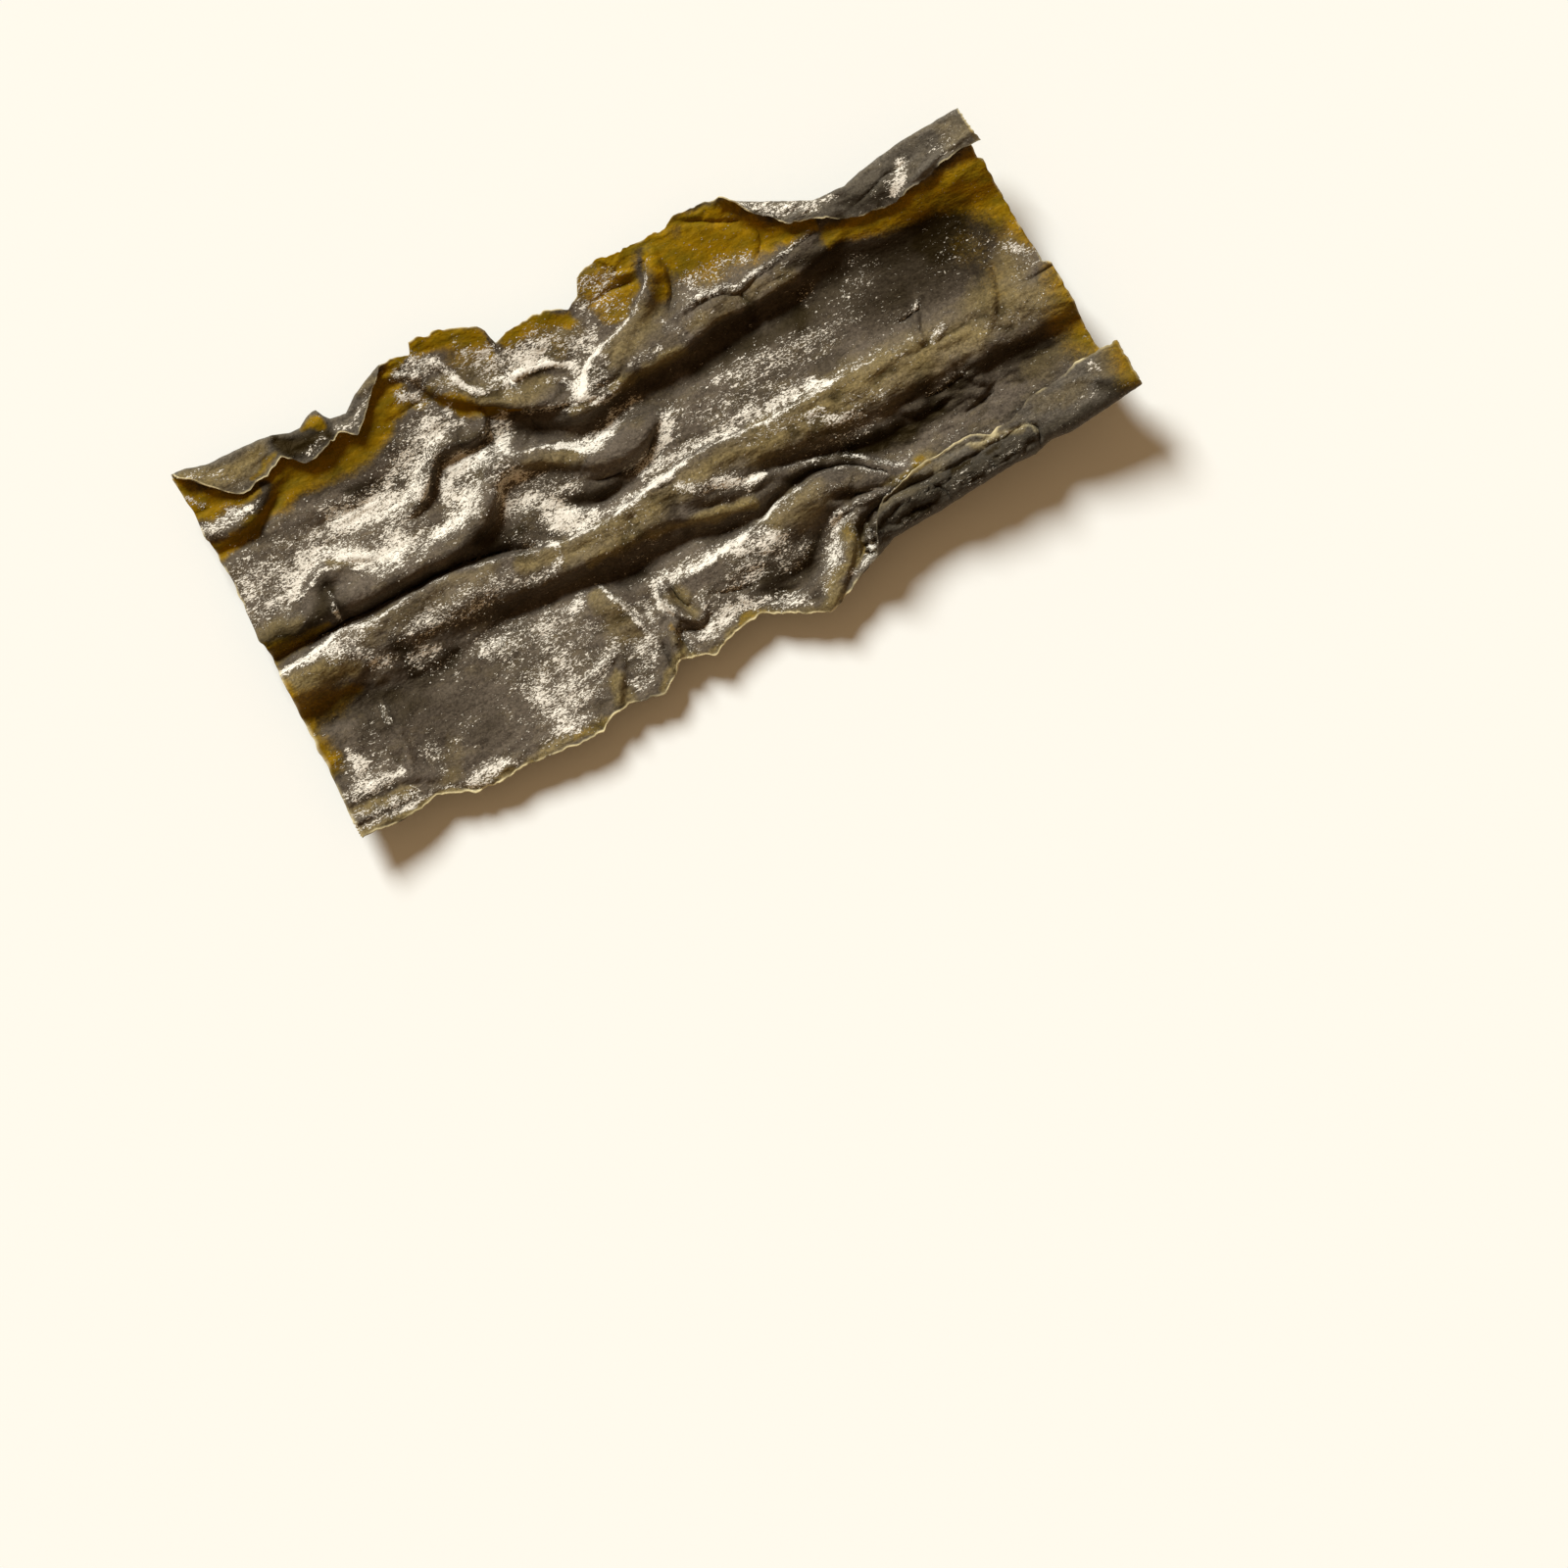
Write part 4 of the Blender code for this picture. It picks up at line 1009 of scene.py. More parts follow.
# Where the skin is olive and bare rather than hazed with grey
OLIVE = strokes(
    (0.5, (-24, 16.4, 2.2), (-18, 14, 2.2), (-14, 11.6, 1.6)),
    (0.6, (-76, 16.6, 1), (-70, 14.8, 1.2)),
    (0.3, (-76, -2, 1.8), (-62, -1.6, 2.2), (-46, -2.8, 2)),
    (0.72, (-38, -5, 1.8), (-28, -7, 2), (-14, -8, 2.6), (0, -6.6, 2.2), (12, -5, 2.2), (24, -6, 2.6)),
    (0.8, (26, -5, 3.4), (38, -6, 4.6), (52, -5, 4.6), (66, -5, 4.6), (80, -7, 3.6)),
    (0.9, (-24, -11, 0.9), (-8, -11.4, 1), (4, -14.4, 1), (18, -16.8, 1)),
    (0.45, (24, 26.4, 1.8), (34, 27, 1.8), (48, 27.6, 1.8)),
    (0.5, (-10, 21, 1.2), (-4, 21.8, 1)),
    (0.85, (2, 22.6, 1.4), (18, 22.8, 1.4)),
    (0.7, (-34, 42, 1.4), (-26, 35, 1.8), (-18, 31.6, 2.4), (-12, 30.4, 2)),
    (0.6, (-26, 44, 3), (-23, 40, 3)),
    (0.6, (-6, 38, 2.6), (-2, 40, 2.6)),
    (0.7, (4, 29, 2), (12, 31, 2.4), (18, 34.6, 2.4)),
    (0.7, (98, 8, 3), (92, 0, 5), (88, -3, 5), (97, -6, 4)),
    (0.4, (88, -20, 3), (98, -20, 3.6)),
    (0.6, (-25, -20, 2), (-25, -27, 3), (-24, -31, 2.2)),
    (0.9, (-98, -5.6, 3), (-90, -6, 2.6), (-82, -7.6, 1.6)),
    (0.3, (-99, -18, 3), (-97.4, -26, 2.6)),
    (0.4, (-101, 9.6, 1.2), (-90, 9.2, 1.4)),
    (0.8, (-99, -36.4, 1.2), (-86, -37.4, 1.2)),
    (0.3, (-76, -40, 2), (-72, -34, 1.6)),
    (0.7, (-32, -43, 1.8), (-29.6, -38, 1.4)),
    (0.9, (-14.6, -36, 1.2), (-15.2, -42, 1.4)),
    (0.8, (-8.6, -28, 1.8), (-7, -33, 1.6)),
    (0.9, (24, -43, 1.6), (30, -39.6, 1.4), (35, -34, 2.2)),
    (0.55, (20, -23.6, 2.6), (30, -23.6, 3)),
    (0.9, (46, -28.6, 0.9), (54, -27.2, 1.4), (60, -26.8, 1)),
    (0.75, (-99, -42.2, 1.4), (-84, -42.2, 1.2), (-76, -44, 1), (-66, -46, 1.2), (-52, -46, 1.4),
     (-38, -46.6, 1.4)),
    (0.8, (-22, -45.4, 1), (-15, -41.6, 1.2), (-8, -43.6, 1), (6, -40.8, 1.2), (18, -46.4, 1.2),
     (26, -45.6, 1.4)),
)

# Where the sheet is darkest, brown to black: mostly painted shade in troughs, under ledges and on slopes
# turned away from the sun, and partly darker skin
DARK_AND_SHADE = strokes(
    (0.45, (-92, 31.4, 1.6), (-88, 31.8, 2.2), (-82, 34.6, 1.8)),
    (0.55, (-91, 41.6, 1.6), (-86, 39.6, 2.2), (-82, 39.2, 1.6)),
    (0.45, (-78, 40.4, 2), (-66, 41, 2), (-56, 40.2, 2.6), (-50, 42, 2)),
    (0.44, (-78, 35, 2), (-66, 35, 2.4), (-54, 36.4, 3)),
    (0.75, (-65, 30, 1.4), (-60, 28.4, 2.4), (-55, 27, 1.4)),
    (0.22, (-68, -24, 7), (-62, -34, 6)),
    (0.42, (-88, -20.4, 2.6), (-80, -21, 3), (-73, -20.6, 3)),
    (0.4, (-99, -18, 3.2), (-98, -26, 2.6)),
    (0.4, (80, 23.6, 3), (88, 21.4, 3.4), (93, 16, 3.4)),
    (0.72, (-101, 6.6, 2.2), (-88, 6.4, 2.2), (-82, 8.6, 2.4), (-79.6, 13, 2)),
    (0.26, (-26, 12.4, 2.2), (-21, 11.6, 2.4), (-15, 8.8, 1.8)),
    (0.62, (20, 15.6, 2.2), (34, 15.8, 2.6), (48, 16.4, 3), (57, 18, 4)),
    (0.6, (-102, -12, 3), (-92, -13, 2.8), (-84, -15, 2.6), (-76, -17, 2)),
    (0.15, (2, -33, 1.6), (10, -33.6, 2), (16, -33.4, 1.8)),
    (0.12, (92, 20, 4), (97, 14, 4)),
    (0.4, (84, -19.6, 2.4), (96, -19.8, 2.6), (103, -19.6, 2.4)),
    (0.3, (24, 20, 3), (36, 20.6, 3.4), (48, 20.6, 3.4)),
    (0.5, (54, 28.2, 2), (62, 27.4, 2.4)),
    (0.72, (58, 23, 4), (72, 20.6, 4.6), (88, 19, 4.4)),
    (0.62, (62, 12, 5), (72, 12, 8), (84, 12, 8), (92, 12, 5)),
    (0.1, (-8, 16.8, 2), (4, 20, 1.8), (16, 19, 2.4)),
    (0.3, (-24, 23.6, 1.6), (-18, 21.6, 2), (-12, 20, 1.4)),
    (0.65, (-42, 4, 3), (-36, 3, 2.6)),
    (0.5, (-20, 1.6, 2), (-12, 1.2, 2.4), (-7, 2.4, 1.3)),
    (0.55, (-72, -8, 1.6), (-71, -16, 2), (-62, -16.4, 1.6)),
    (0.15, (-52, -12, 1.4), (-40, -12.6, 1.8), (-24, -13.2, 2), (-10, -14.4, 2.2), (2, -16, 1.6)),
    (0.4, (-18, -18.4, 2.2), (-12, -19, 1.8)),
    (0.6, (26, -16.8, 1.4), (34, -17.6, 1.2)),
    (0.85, (42, -17, 1.8), (54, -18.2, 2.6), (64, -17.4, 1.8)),
    (0.42, (70, -14.6, 1.4), (84, -14.8, 2), (94, -15.4, 2.6)),
    (0.4, (66, -8, 2.4), (66, -18, 3), (74, -15, 3)),
    (0.44, (12, -37, 2.2), (20, -36.6, 2.4), (27, -31.4, 2)),
    (0.3, (-48.6, 20.6, 1.6), (-47, 24, 1.2)),
    (0.08, (24.8, 45, 0.9), (24.2, 38, 1)),
)
# Painted shade on the dark tongue of the far flap, which lies in shade
TURNED_SHADE = strokes(
    (0.6, (-74.2, 48, 1.1), (-72.6, 45, 2.2), (-69, 43.4, 2.4), (-63, 43.2, 1.2)),
)
# The underside's darkest stretches: its own darker colour along the roll, and painted shade on the far
# flap's tongue and along the lower side of the near strip
TURNED_DARK_AND_SHADE = strokes(
    (0.97, (-74.3, 49.4, 0.7), (-74.2, 45.4, 0.8), (-73, 43.6, 0.9)),
    (0.97, (-72.4, 46.4, 2), (-69, 44.4, 2.8), (-62.6, 43.8, 1.8)),
    (0.62, (38, -36, 3.2), (50, -35.2, 3), (66, -34.8, 3.2), (80, -34.8, 3)),
    (0.28, (66, 35, 2.6), (78, 36.4, 3), (92, 38, 2.6)),
    (0.75, (100.4, -31.4, 1.3), (102.4, -32.4, 1.6), (105, -33.4, 1.6)),
    (0.6, (70, 32.6, 2.2), (78, 31.6, 2.2)),
    (0.6, (84, -34.6, 1.2), (96, -34.8, 1.2), (108, -34.4, 1.2)),
)

# ---- Finishes ----


def linear(hex_colour: str) -> tuple[float, float, float, float]:
    """Turn an sRGB hex colour into a linear one.

    Args:
        hex_colour: The colour, such as "#a0b0c0".

    Returns:
        Red, green, blue and alpha.
    """
    channels = [int(hex_colour[place : place + 2], 16) / 255 for place in (1, 3, 5)]
    bent = [value / 12.92 if value <= 0.04045 else ((value + 0.055) / 1.055) ** 2.4 for value in channels]
    return (*bent, 1.0)


def per_metre(size_mm: float) -> float:
    """Turn the size of one hump of a pattern in millimetres into a noise scale on coordinates in metres."""
    return 1 / (size_mm * MM)


def add_node(tree: Tree, kind: str, inputs: dict | tuple = (), **settings: object) -> bpy.types.Node:
    """Add one node with its settings, values and links.

    Args:
        tree: The tree to add it to.
        kind: The node type's identifier.
        inputs: The output to link to each socket, or its value, under its name or number or in their order.
        settings: The node's own properties.

    Returns:
        The new node.
    """
    node = tree.nodes.new(kind)
    for name, value in settings.items():
        setattr(node, name, value)
    for name, value in inputs.items() if isinstance(inputs, dict) else enumerate(inputs):
        socket = node.inputs[name]
        if isinstance(value, bpy.types.NodeSocket):
            tree.links.new(value, socket)
        else:
            socket.default_value = value
    return node


def new_material(name: str) -> tuple[bpy.types.Material, Tree]:
    """Make an empty node material.

    Args:
        name: The material's name.

    Returns:
        The material and its tree.
    """
    material = bpy.data.materials.new(name)
    material.use_nodes = True
    material.node_tree.nodes.clear()
    return material, material.node_tree


@dataclass(frozen=True)
class AirDriedKelp:
    """Air-dried kelp: a leathery brown blade with a dull satin skin, clear amber where it is thin.

    The skin gives a soft sheen over fine pebbling, the salts that dried out of it lie on it as a matt white
    powder, and the torn edges are pale where the layers of the blade have parted. Painted shade darkens its
    troughs, wrinkles and shaded slopes, and painted highlights lie along the underside's crumpled crests. A
    ramp is the two values between which something rises, and after them what it rises from and to, where
    that isn't 0 and 1.
    """

    grey_skin: str = "#5a5146"
    # darker skin and painted shade, which the dark map lays on
    dark_skin_and_shade: str = "#1d170b"
    olive_skin: str = "#796942"
    # painted shade: the near-black that troughs, wrinkles and the dark map pull the colour towards
    painted_shade: str = "#1f1705"
    amber: str = "#7a640f"
    gold: str = "#a67d07"
    underside: str = "#595349"
    # darker underside and painted shade, which the underside's dark map lays on
    dark_underside_and_shade: str = "#26221a"
    torn_edge: str = "#ddcd9e"
    powder: str = "#ebe3d3"
    thin_powder: str = "#9f937c"
    light_through: str = "#a07a1c"
    roughness: float = 0.50
    powder_roughness: float = 0.92
    ior: float = 1.42
    sheen: float = 0.15
    sheen_colour: str = "#ffd9a0"
    # sizes of the humps of each pattern, and how far they are drawn out along the blade
    cloud_mm: float = 13.0
    grit_mm: float = 0.75
    pebble_mm: float = 1.1
    streak_mm: float = 3.0
    fine_streak_mm: float = 1.35
    powder_clump_mm: float = 1.5
    powder_grain_mm: float = 0.55
    drawn_out: tuple[float, float, float] = (0.45, 1.0, 1.0)
    # how deep the powder lies: on bare skin, and what its clumps, its grains and the two maps add
    bare_depth: float = -5.82
    clump_depth: float = 3.4
    grain_depth: float = 6.8
    map_depth: float = 2.3
    cover_ramp: tuple[float, ...] = (0.63, 0.98)
    thick_ramp: tuple[float, ...] = (0.7, 1.45)
    veil_ramp: tuple[float, ...] = (0.15, 1.0, 0.0, 0.18)
    rough_cover: float = 0.8
    # the skin's clouds, flecks and grit, and how its colours give way to each other
    cloud_ramp: tuple[float, ...] = (0.40, 0.70, 0.0, 0.55)
    fleck_ramp: tuple[float, ...] = (0.36, 0.66)
    grit_ramp: tuple[float, ...] = (0.34, 0.68, 0.66, 1.46)
    amber_smoothness: float = 0.7
    amber_grit: float = 1.03
    flecks_of_olive: float = 0.35
    deep_on_olive: float = -0.4
    olive_ramp: tuple[float, ...] = (0.15, 1.2)
    grit_of_amber: float = 0.4
    amber_ramp: tuple[float, ...] = (0.36, 1.02)
    # how much of the dark map also adds painted shade
    dark_adds_shade: float = 0.45
    # the relief: streaks on flat and on folded skin, the powder's own height, and the depth of it all
    streak_height: float = 0.9
    folded_streak_height: float = 3.2
    powder_height: float = 0.6
    relief_strength: float = 0.75
    relief_depth: float = 0.0004
    # how much light comes through bare amber skin
    glow: float = 0.3

    def powder_depth(self, tree: Tree, streaked: Socket) -> Socket:
        """Work out how deep the powder lies: clumps where there is much of it, and specks where little.

        Args:
            tree: The material's tree.
            streaked: Where on the sheet, in metres, drawn out along the blade.

        Returns:
            The depth, which cover_ramp and thick_ramp read.
        """
        clump = add_node(tree, "ShaderNodeTexNoise", {
            "Vector": streaked, "Scale": per_metre(self.powder_clump_mm), "Detail": 5.0, "Roughness": 0.7,
            "Distortion": 0.8,
        }).outputs["Fac"]
        grain = add_node(tree, "ShaderNodeTexNoise", {
            "Vector": streaked, "Scale": per_metre(self.powder_grain_mm), "Detail": 2.0, "Roughness": 0.6,
            "Distortion": 1.6,
        }).outputs["Fac"]
        layers = [(clump, self.clump_depth), (grain, self.grain_depth)]
        # the crest map is the bloom rubbed onto crests, and on the underside also painted highlights on
        # crumpled crests
        for name in ("bloom", "crest"):
            amount = add_node(tree, "ShaderNodeAttribute", attribute_name=name).outputs["Fac"]
            layers.append((amount, self.map_depth))
        depth = self.bare_depth
        for layer, share in layers:
            added = add_node(tree, "ShaderNodeMath", (layer, share, depth), operation="MULTIPLY_ADD")
            depth = added.outputs[0]
        return depth

    def skin_colour(self, tree: Tree, place: Socket, streaked: Socket) -> Socket:
        """Mix the blade's colour out of grey, olive, amber and dark stretches, with painted shade laid over
        it.

        Args:
            tree: The material's tree.
            place: Where on the sheet, in metres.
            streaked: The same, drawn out along the blade.

        Returns:
            The bare skin's colour, with its painted shade.
        """
        maps = {name: add_node(tree, "ShaderNodeAttribute", attribute_name=name).outputs["Fac"]
                for name in ("olive", "amber", "deep", "under", "hollow")}
        cloud = add_node(tree, "ShaderNodeTexNoise",
                         {"Vector": place, "Scale": per_metre(self.cloud_mm), "Detail": 3.0}).outputs["Fac"]
        fleck = add_node(tree, "ShaderNodeTexNoise", {
            "Vector": streaked, "Scale": per_metre(self.streak_mm), "Detail": 6.0, "Roughness": 0.65,
        }).outputs["Fac"]
        grit = add_node(tree, "ShaderNodeTexNoise", {
            "Vector": place, "Scale": per_metre(self.grit_mm), "Detail": 3.0, "Roughness": 0.6,
            "Distortion": 0.8,
        }).outputs["Fac"]
        cloud = add_node(tree, "ShaderNodeMapRange", (cloud, *self.cloud_ramp)).outputs[0]
        fleck = add_node(tree, "ShaderNodeMapRange", (fleck, *self.fleck_ramp)).outputs[0]
        # the dark map, mostly painted shade, and the random clouds darken the skin
        dark = add_node(tree, "ShaderNodeMath", (maps["deep"], cloud),
                        operation="ADD", use_clamp=True).outputs[0]
        olive = add_node(tree, "ShaderNodeMath", (fleck, self.flecks_of_olive, maps["olive"]),
                         operation="MULTIPLY_ADD").outputs[0]
        olive = add_node(tree, "ShaderNodeMath", (maps["deep"], self.deep_on_olive, olive),
                         operation="MULTIPLY_ADD").outputs[0]
        olive = add_node(tree, "ShaderNodeMapRange", (olive, *self.olive_ramp)).outputs[0]
        thin = add_node(tree, "ShaderNodeMath", (grit, self.grit_of_amber, maps["amber"]),
                        operation="MULTIPLY_ADD").outputs[0]
        thin = add_node(tree, "ShaderNodeMapRange", (thin, *self.amber_ramp),
                        interpolation_type="SMOOTHSTEP").outputs[0]
        under = add_node(tree, "ShaderNodeMix", {
            0: maps["deep"], 6: linear(self.underside), 7: linear(self.dark_underside_and_shade),
        }, data_type="RGBA").outputs[2]
        clear = add_node(tree, "ShaderNodeMix", {0: fleck, 6: linear(self.amber), 7: linear(self.gold)},
                         data_type="RGBA").outputs[2]
        skin = linear(self.grey_skin)
        for share, colour in ((dark, linear(self.dark_skin_and_shade)), (maps["under"], under),
                              (olive, linear(self.olive_skin)), (thin, clear)):
            mixed = add_node(tree, "ShaderNodeMix", {0: share, 6: skin, 7: colour}, data_type="RGBA")
            skin = mixed.outputs[2]
        grit = add_node(tree, "ShaderNodeMapRange", (grit, *self.grit_ramp)).outputs[0]
        smooth = add_node(tree, "ShaderNodeMath", (maps["amber"], self.amber_smoothness),
                          operation="MULTIPLY").outputs[0]
        grit = add_node(tree, "ShaderNodeMix", {0: smooth, 2: grit, 3: self.amber_grit}).outputs[0]
        skin = add_node(tree, "ShaderNodeHueSaturation", {"Value": grit, "Color": skin}).outputs[0]
        # Painted shade: the dark map and the troughs and wrinkles pull the colour towards near-black
        shade = add_node(tree, "ShaderNodeMath", (maps["deep"], self.dark_adds_shade, maps["hollow"]),
                         operation="MULTIPLY_ADD", use_clamp=True).outputs[0]
        return add_node(tree, "ShaderNodeMix", {0: shade, 6: skin, 7: linear(self.painted_shade)},
                        data_type="RGBA").outputs[2]

    def relief(self, tree: Tree, place: Socket, streaked: Socket, cover: Socket) -> Socket:
        """Give the skin its pebbling and streaks, and the powder its grain, as a bent normal.

        Args:
            tree: The material's tree.
            place: Where on the sheet, in metres.
            streaked: The same, drawn out along the blade.
            cover: How much powder lies on each spot.

        Returns:
            The bent normal.
        """
        height = add_node(tree, "ShaderNodeTexNoise", {
            "Vector": place, "Scale": per_metre(self.pebble_mm), "Detail": 4.0, "Roughness": 0.62,
        }).outputs["Fac"]
        streak = add_node(tree, "ShaderNodeTexNoise", {
            "Vector": streaked, "Scale": per_metre(self.fine_streak_mm), "Detail": 3.0, "Roughness": 0.6,
        }).outputs["Fac"]
        pressed = add_node(tree, "ShaderNodeAttribute", attribute_name="pressed").outputs["Fac"]
        drawn = add_node(tree, "ShaderNodeMath", (pressed, self.folded_streak_height, self.streak_height),
                         operation="MULTIPLY_ADD").outputs[0]
        for layer, share in ((streak, drawn), (cover, self.powder_height)):
            raised = add_node(tree, "ShaderNodeMath", (layer, share, height), operation="MULTIPLY_ADD")
            height = raised.outputs[0]
        return add_node(tree, "ShaderNodeBump", {
            "Height": height, "Strength": self.relief_strength, "Distance": self.relief_depth,
        }).outputs[0]

    def material(self) -> bpy.types.Material:
        """Build the material.

        Returns:
            The material, which reads the sheet's maps.
        """
        material, tree = new_material("air_dried_kelp")
        place = add_node(tree, "ShaderNodeTexCoord").outputs["Object"]
        streaked = add_node(tree, "ShaderNodeMapping", {"Vector": place, "Scale": self.drawn_out}).outputs[0]
        depth = self.powder_depth(tree, streaked)
        cover = add_node(tree, "ShaderNodeMapRange", (depth, *self.cover_ramp),
                         interpolation_type="SMOOTHSTEP").outputs[0]
        bloom, amber, edge = (add_node(tree, "ShaderNodeAttribute", attribute_name=name).outputs["Fac"]
                              for name in ("bloom", "amber", "edge"))
        veil = add_node(tree, "ShaderNodeMapRange", (bloom, *self.veil_ramp)).outputs[0]
        thick = add_node(tree, "ShaderNodeMapRange", (depth, *self.thick_ramp)).outputs[0]
        thin = linear(self.thin_powder)
        powder = add_node(tree, "ShaderNodeMix", {0: thick, 6: thin, 7: linear(self.powder)},
                          data_type="RGBA").outputs[2]
        colour = self.skin_colour(tree, place, streaked)
        for share, over in ((veil, thin), (cover, powder), (edge, linear(self.torn_edge))):
            laid = add_node(tree, "ShaderNodeMix", {0: share, 6: colour, 7: over}, data_type="RGBA")
            colour = laid.outputs[2]
        rough = add_node(tree, "ShaderNodeMapRange",
                         (cover, 0.0, self.rough_cover, self.roughness, self.powder_roughness)).outputs[0]
        shader = add_node(tree, "ShaderNodeBsdfPrincipled", {
            "Base Color": colour, "Roughness": rough, "IOR": self.ior, "Specular IOR Level": self.sheen,
            "Specular Tint": linear(self.sheen_colour), "Normal": self.relief(tree, place, streaked, cover),
        }).outputs[0]
        glow = add_node(tree, "ShaderNodeBsdfTranslucent", {"Color": linear(self.light_through)}).outputs[0]
        bare = add_node(tree, "ShaderNodeMath", (self.glow, cover), operation="SUBTRACT", use_clamp=True)
        through = add_node(tree, "ShaderNodeMath", (amber, bare.outputs[0]), operation="MULTIPLY").outputs[0]
        mixed = add_node(tree, "ShaderNodeMixShader", (through, shader, glow)).outputs[0]
        add_node(tree, "ShaderNodeOutputMaterial", {"Surface": mixed})
        return material


@dataclass(frozen=True)
class SaltCrystal:
    """Salt and mannitol crystals: tiny dull white blocks that catch the light one by one."""

    colour: str = "#efe9dc"
    dull_colour: str = "#c9c1b0"
    dulling_mm: float = 0.8
    roughness: float = 0.55
    ior: float = 1.5

    def material(self) -> bpy.types.Material:
        """Build the material, each crystal a little whiter or duller than the next.

        Returns:
            The material.
        """
        material, tree = new_material("salt_crystal")
        place = add_node(tree, "ShaderNodeTexCoord").outputs["Object"]
        noise = add_node(tree, "ShaderNodeTexNoise",
                         {"Vector": place, "Scale": per_metre(self.dulling_mm), "Detail": 1.0})
        colour = add_node(tree, "ShaderNodeMix", {
            0: noise.outputs["Fac"], 6: linear(self.dull_colour), 7: linear(self.colour),
        }, data_type="RGBA").outputs[2]
        shader = add_node(tree, "ShaderNodeBsdfPrincipled",
                          {"Base Color": colour, "Roughness": self.roughness, "IOR": self.ior})
        add_node(tree, "ShaderNodeOutputMaterial", {"Surface": shader.outputs[0]})
        return material


@dataclass(frozen=True)
class MattCard:
    """Matt uncoated card for the floor: pale cream, with no gloss at all."""

    colour: str = "#f6f5ee"
    roughness: float = 0.95

    def material(self) -> bpy.types.Material:
        """Build the material.

        Returns:
            The material.
        """
        material, tree = new_material("matt_card")
        shader = add_node(tree, "ShaderNodeBsdfPrincipled",
                          {"Base Color": linear(self.colour), "Roughness": self.roughness})
        add_node(tree, "ShaderNodeOutputMaterial", {"Surface": shader.outputs[0]})
        return material


# ---- The sheet ----

# How wide the blade is, about, to size the unevenness of its cut ends by
BLADE_WIDTH = 95.0
LEFT_CUT = Wave(0.25, 2.4, 61)
RIGHT_CUT = Wave(0.2, 2.0, 62)

# The broad swell of the whole sheet: its height, its length and width over a radian, and where it starts
SWELL_HEIGHT, SWELL_LENGTH, SWELL_WIDTH = 1.1, 17.0, 23.0
SWELL_STARTS = (0.6, 0.4)
UNDULATION = (Wave(0.5, 13.0, 5),)

# Where the far edge lies lower again, towards each end
FAR_SETTLES_RIGHT = Ramp(40.0, 75.0, 0.7)
FAR_SETTLES_LEFT = Ramp(30.0, 60.0, 0.35)

# How the folds' lines wander and their heights vary
WANDER_ALONG = Wave(0.35, 3.6, 15)
WANDER_ACROSS = Wave(0.30, 3.6, 16)
UNEVEN_HEIGHT = Wave(0.14, 5.5, 17)

# The dried skin's own crumpling: lengthwise wrinkles, which drift across the blade, dents, and the sharp
# creases of crumpled stretches
WRINKLE_DRIFT = Wave(2.0, 9.0, 3)
WRINKLES = (Wave(0.34, 4.2, 11, 0.34, True), Wave(0.24, 2.1, 12, 0.45, True))
DENTS = (Wave(0.18, 2.6, 14, 0.8), Wave(0.12, 1.2, 13, 0.8))
DRIFTING_CREASES = Wave(1.3, 2.0, 18, 0.22, True)
STILL_CREASES = Wave(0.4, 1.3, 19, 0.5, True)
CALM_SHARE, CRUMPLED_SHARE = 0.85, 0.8
FLAT_LEVEL, LEVEL_PER_MM = 0.85, 0.12

# The maps: unevenness of the powder, thin dusting between the strokes and what keeps it off, the painted
# shade in troughs and wrinkles, which amber lightens, the painted highlights on the underside's crumpled
# crests, and what tells the turned strips from the flat sheet
POWDER_UNEVEN = (Wave(0.28, 4.6, 72, 0.6), Wave(0.26, 1.7, 75, 0.6))
DUSTING_LEVEL = 0.05
DUSTING = (Wave(0.14, 11.0, 71),)
UNDER_DUSTING = Wave(0.14, 7.0, 73)
AMBER_SHEDS, DEEP_SHEDS, AMBER_LIGHTENS = 0.3, 0.12, 0.8
POWDER_STRAY, TURNED_STRAY, PARTED_STRAY = 0.8, 0.6, 0.4
TROUGH_SHADE = Ramp(0.6, 4.2, 0.12)
WRINKLE_SHADE = Ramp(0.08, 0.5, 0.6)
UNDER_WRINKLE_SHADE = Ramp(0.1, 0.6, 0.7)
UNDER_CREST = Ramp(0.4, 1.2)
UNDER_CREST_HIGHLIGHT = 0.16
CRUMPLED_STREAKS = 0.5
FOLDED_STREAKS = Ramp(0.8, 3.0, 0.35)
ON_STRIP = Ramp(0.12, 0.4)
OFF_FLAT = Ramp(0.0, 0.2)

# The pale torn edge: how much of it shows and how unevenly, more and wider along the near side as far as
# where it starts to roll in, and hidden where it is rolled in
EDGE_LEVEL = 0.38
EDGE_UNEVEN = (Wave(1.0, 2.2, 74), Wave(0.5, 7.0, 76))
EDGE_WIDTH = 0.42
NEAR_EDGE_ENDS = 30.0
NEAR_EDGE_MORE, NEAR_EDGE_WIDER = 0.6, 0.25
ROLLED_OUT = Ramp(0.3, 0.8)
ROLL_BEGINS = Ramp(27.0, 33.0)
ROLL_ENDS = Ramp(46.0, 54.0)
ROLL_HIDES = 0.9

# The grid: how much closer its rows lie at the hinges of the strips
STRIP_CROWDING = 1.25


@dataclass(frozen=True)
class Lift:
    """A rise towards one side of the sheet, steeper and steeper from where it starts."""

    height: float
    start: float
    run: float
    furthest: float = 1.2

    def at(self, outwards: Array) -> Array:
        """Give the rise at places that are measured towards that side."""
        return self.height * np.clip((outwards - self.start) / self.run, 0.0, self.furthest) ** 2


